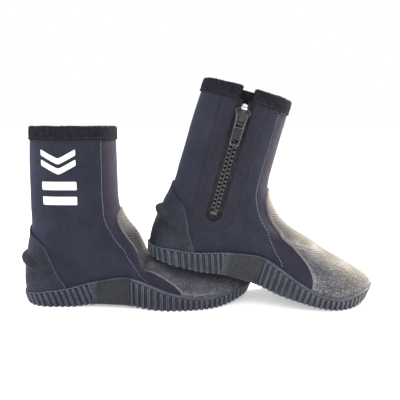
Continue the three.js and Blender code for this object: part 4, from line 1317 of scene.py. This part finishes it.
def zip_piece(boot, part, made, look, at=(0, 0, 0), slot="zip_plastic", **more):
    """A piece of the zip, from a mesh in the zip's frame moved by at."""
    piece(boot, part, in_zip(made, at), look, slot, "rigid", **more)


def tooth(sign, y):
    """One moulded tooth seen from above: clamp on the tape, waist and rounded head."""
    half = [(-0.9, 0.55), (-0.65, 1.0), (0.2, 1.2), (0.9, 0.8), (1.5, 0.85), (2.0, 1.35), (4.5, 1.4)]
    line = half + [(x, -w) for x, w in reversed(half)]
    return [(sign * x, y + w) for x, w in (line if sign > 0 else reversed(line))]


def woven_tape(sign):
    """Half the zip's tape, with the cord that its teeth are moulded on."""
    x = sign * np.linspace(TAPE.near, TAPE.far, 40)
    y = np.linspace(-1, ZIP_LENGTH + 6, 160)[:, None]
    cord = 0.55 * np.exp(-(((np.abs(x) - 4.4) / 0.7) ** 2)) + 0.06 * np.cos(y * 2 * np.pi / 1.3) + 0 * x
    base = np.stack(np.broadcast_arrays(x, y), -1)
    outside = np.concatenate([base, (TAPE.top + cord)[..., None]], -1)
    inside = np.concatenate([base, np.full((*cord.shape, 1), TAPE.under)], -1)
    return sheet(outside, inside)[0]


def add_zip(boot):
    count = int(ZIP_LENGTH // ZIP.pitch) - 1
    for side, sign in (("front", -1), ("rear", 1)):
        shift = ZIP.pitch / 2 if sign > 0 else 0
        middles = 1.9 + shift + ZIP.pitch * np.arange(count)
        teeth = plate([tooth(sign, y) for y in middles], TEETH.low, TEETH.high, 0.32)
        zip_piece(boot, f"zip_teeth_{side}_row", teeth, LOOK.teeth, stands_for=[f"zip_teeth_{side}"])
        tape = woven_tape(sign)
        zip_piece(boot, f"zip_woven_{side}", tape, LOOK.tape, slot="tape", stands_for=[f"zip_tape_{side}"])
        stop = rounded_box(2.8, 3.4, TEETH.low, TEETH.high + 0.1, 0.35)
        at = (sign * 2.9, ZIP_LENGTH - 1, 0)
        zip_piece(boot, f"zip_end_{side}", stop, LOOK.teeth, at, stands_for=[f"zip_top_stop_{side}"])
    turn = np.linspace(np.pi, 2 * np.pi, 30)
    round_foot = [(FOOT_PATCH * math.cos(t), FOOT_PATCH * math.sin(t) - 2) for t in turn]
    outline = round_foot + [(FOOT_PATCH, 3), (-FOOT_PATCH, 3)]
    patch = plate([outline], TEETH.low - 0.8, TEETH.low, 0.2)
    zip_piece(boot, "zip_foot_patch", patch, LOOK.tape, slot="tape")
    low = [rounded_box(8.2, 4, TEETH.low, TEETH.high + 0.1, 0.4), rounded_box(5.4, 1.2, 1.6, 2.1, 0.2, 0.3)]
    zip_piece(boot, "zip_foot_stop", joined(low), LOOK.teeth, (0, -2.3, 0), stands_for=["zip_bottom_stop"])


def curve_to(start, control, end, count=8):
    """Points of a quadratic curve, without its first."""
    t = np.linspace(0, 1, count)[1:, None]
    a, b, c = (np.array(p, float) for p in (start, control, end))
    return [tuple(p) for p in (1 - t) ** 2 * a + 2 * t * (1 - t) * b + t**2 * c]


def path(start, *bends):
    """A start and the curves that follow on from it, each a control point, an end and perhaps a count."""
    line = [start]
    for bend in bends:
        line += curve_to(line[-1], *bend)
    return line


def mirrored(right):
    """A closed outline from its right half."""
    return right + [(-x, y) for x, y in reversed(right)]


def slider_outline(inset=0.0):
    """The slider's face: narrow at the foot, shouldered at the crown, drawn in by inset."""
    half = SLIDER.length / 2
    foot, wide = SLIDER.bottom - inset, SLIDER.top - inset
    low, high = -half - SLIDER.foot + inset, half + 1 - inset
    return mirrored(path(
        (foot - 1, low),
        ((foot, low), (foot, low + 1.2), 5),
        ((foot + 0.2, 1), (wide, half - 6.2)),
        ((wide + 0.3, half - 3.2), (wide - 1.6, half - 2)),
        ((3.4, high), (2.4, high)),
    ))


def bridge_outline():
    """The arch that carries the pull, seen from the side: y along the zip, then z outwards."""
    low = SLIDER.under + SLIDER.plate - 0.2
    crest = PULL.axis + 3.3
    under = crest - 1.4
    outer = path((-9.2, low), ((-8.0, crest), (-2.6, crest), 10))
    outer += curve_to((2.6, crest), (6.2, crest), (6.6, low), 10)
    inner = path((4.9, low), ((4.6, under), (2.2, under)))
    inner += curve_to((-2.2, under), (-6.2, under), (-7.4, low))
    return outer + inner


ON_EDGE = [[0, 0, 1], [1, 0, 0], [0, 1, 0]]  # turns a plate drawn in y and z to stand across x


def add_slider(boot):
    body = f"{boot.name}_zip_slider"
    top = SLIDER.under + SLIDER.plate
    sides = [
        rounded_box(1.2, SLIDER.length - 6, 0.3, SLIDER.under + 0.3, 0.25, 0.4, at=(sign * (4.3 + 1.1), -2))
        for sign in (-1, 1)
    ]
    parts = [plate([slider_outline()], SLIDER.under + 0.3, top, 0.35), *sides]
    plain = sum(len(faces) for _, faces, _ in parts)
    # The raised ring on top takes the lighter rim material: painted highlight.
    parts.append(plate([slider_outline(0.3), slider_outline(1.2)], top - 0.05, top + 0.45, 0.14))
    zip_piece(boot, "slider_body", joined(parts), LOOK.slider, SLIDER_AT, body=body,
              stands_for=["zip_slider"], second=(LOOK.rim, plain))
    bridge = plate([bridge_outline()], -SLIDER.bridge / 2, SLIDER.bridge / 2, 0.4, ON_EDGE)
    zip_piece(boot, "slider_bridge", bridge, LOOK.slider, SLIDER_AT, body=body)
    lower = rounded_box(7.4, 4.2, top - 0.2, top + 1.5, 0.6, 1.4)
    upper = rounded_box(6.4, 3.0, top - 0.2, top + 2.3, 0.7, 1.1, at=(0, 3.4))
    at = (0, SLIDER_AT[1] + SLIDER.length / 2 - 0.2, 0)
    zip_piece(boot, "slider_crown", joined([lower, upper]), LOOK.chrome, at, body=body)


def pull_outline(inset):
    """The pull tab's outline, drawn in by inset."""
    w, low = PULL.width / 2 - inset, -PULL.length + inset
    side = path((w, 0), ((w - 0.7, -12), (w - 1.2, low + 3), 6), ((w - 1.2, low), (w - 3.6, low)))
    return mirrored([(w - 1, 1.2 - inset), *side])


def window(half, top, bottom, corner=0.7):
    """A rectangular hole with rounded corners."""
    line = []
    for x, y in ((half, top), (half, bottom), (-half, bottom), (-half, top)):
        sx, sy = math.copysign(corner, x), -corner if y == top else corner
        first, last = ((x - sx, y), (x, y + sy)) if x * sy < 0 else ((x, y + sy), (x - sx, y))
        line += [first] + curve_to(first, (x, y), last, 4)
    return line


def add_pull(boot):
    upper = window(4.3, -1.1, -14.5)
    lower = window(3.4, -PULL.length + 7.5, -PULL.length + 2.6)
    half = PULL.thick / 2
    slab = plate([pull_outline(0), upper, lower], -half + 0.3, half - 0.3, 0.25)
    # The raised frames take the lighter rim material: painted highlight.
    frames = [
        plate([pull_outline(0), pull_outline(1.1)], half - 0.5, half, 0.2),
        plate([pull_outline(0), pull_outline(1.1)], -half, -half + 0.5, 0.2),
        plate([window(5.2, -0.4, -15.4), upper], half - 0.5, half, 0.15),
    ]
    at = (0, SLIDER_AT[1], PULL.axis)
    zip_piece(boot, "pull_tab", joined([slab, *frames]), LOOK.slider, at, body=f"{boot.name}_zip_pull",
              stands_for=["zip_pull"], second=(LOOK.rim, len(slab[1])))


# ---- camera, floor and light ----
CAMERA = SimpleNamespace(place=(0.004, -0.6, 0.22), down=8.65, lens=42.93)
FLOOR_HALF = 60.0
FLOOR_GLOW = 0.4


def add_camera():
    data = bpy.data.cameras.new("camera")
    data.sensor_width = 36
    data.lens = CAMERA.lens
    bpy.context.scene.camera = put("camera", data, CAMERA.place, (math.radians(90 - CAMERA.down), 0, 0))


def add_floor():
    t = Tree("pale_floor")
    tone = t.mix(t.noise(60, 3), (246, 246, 247), (250, 250, 250))
    t.bumps((t.noise(2, 2), 0.02))
    t.shader.inputs["Emission Color"].default_value = (1, 1, 1, 1)
    t.shader.inputs["Emission Strength"].default_value = FLOOR_GLOW
    mesh = bpy.data.meshes.new("floor")
    corners = [(x * FLOOR_HALF, y * FLOOR_HALF, 0) for x, y in ((-1, -1), (1, -1), (1, 1), (-1, 1))]
    mesh.from_pydata(corners, [], [(0, 1, 2, 3)])
    mesh.uv_layers.new(name="weave")
    mesh.materials.append(t.finish(tone, 0.7, specular=0.2))
    put("floor", mesh)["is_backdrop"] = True


def add_sun(name, angles, strength, spread):
    data = bpy.data.lights.new(name, "SUN")
    data.energy = strength
    data.angle = math.radians(spread)
    put(name, data, turn=[math.radians(t) for t in angles])


def add_light(name, place, target, size, power, colour):
    data = bpy.data.lights.new(name, "AREA")
    data.shape = "DISK"
    data.size = size
    data.energy = power
    data.color = colour
    put(name, data, place, (Vector(target) - Vector(place)).to_track_quat("-Z", "Y").to_euler())


def add_studio():
    world = bpy.data.worlds.new("studio")
    world.use_nodes = True
    world.node_tree.nodes["Background"].inputs["Color"].default_value = (1, 1, 1, 1)
    world.node_tree.nodes["Background"].inputs["Strength"].default_value = 1.0
    bpy.context.scene.world = world
    bpy.context.scene.view_settings.view_transform = "Standard"
    add_sun("key", (32, -14, 0), 1.2, 70)
    add_light("window", (0.75, 0.5, 0.75), (0.14, 0, 0.08), 0.5, 34, (1.0, 0.9, 0.7))


def write_sizes():
    """The CAD box and the visual model's box."""
    boxes = {"cad": CAD_BOX, "visual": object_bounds()}
    {k: [list(corner) for corner in box] for k, box in boxes.items()}


PARTS = (
    add_outsole, add_inner_soles, add_panels, add_toe_cap, add_heel_cap, add_binding, add_loops,
    add_stitching, add_inside, add_mark, add_zip, add_slider, add_pull,
)

add_camera()
add_studio()
add_floor()
for boot in BOOTS:
    for add_part in PARTS:
        add_part(boot)
write_sizes()
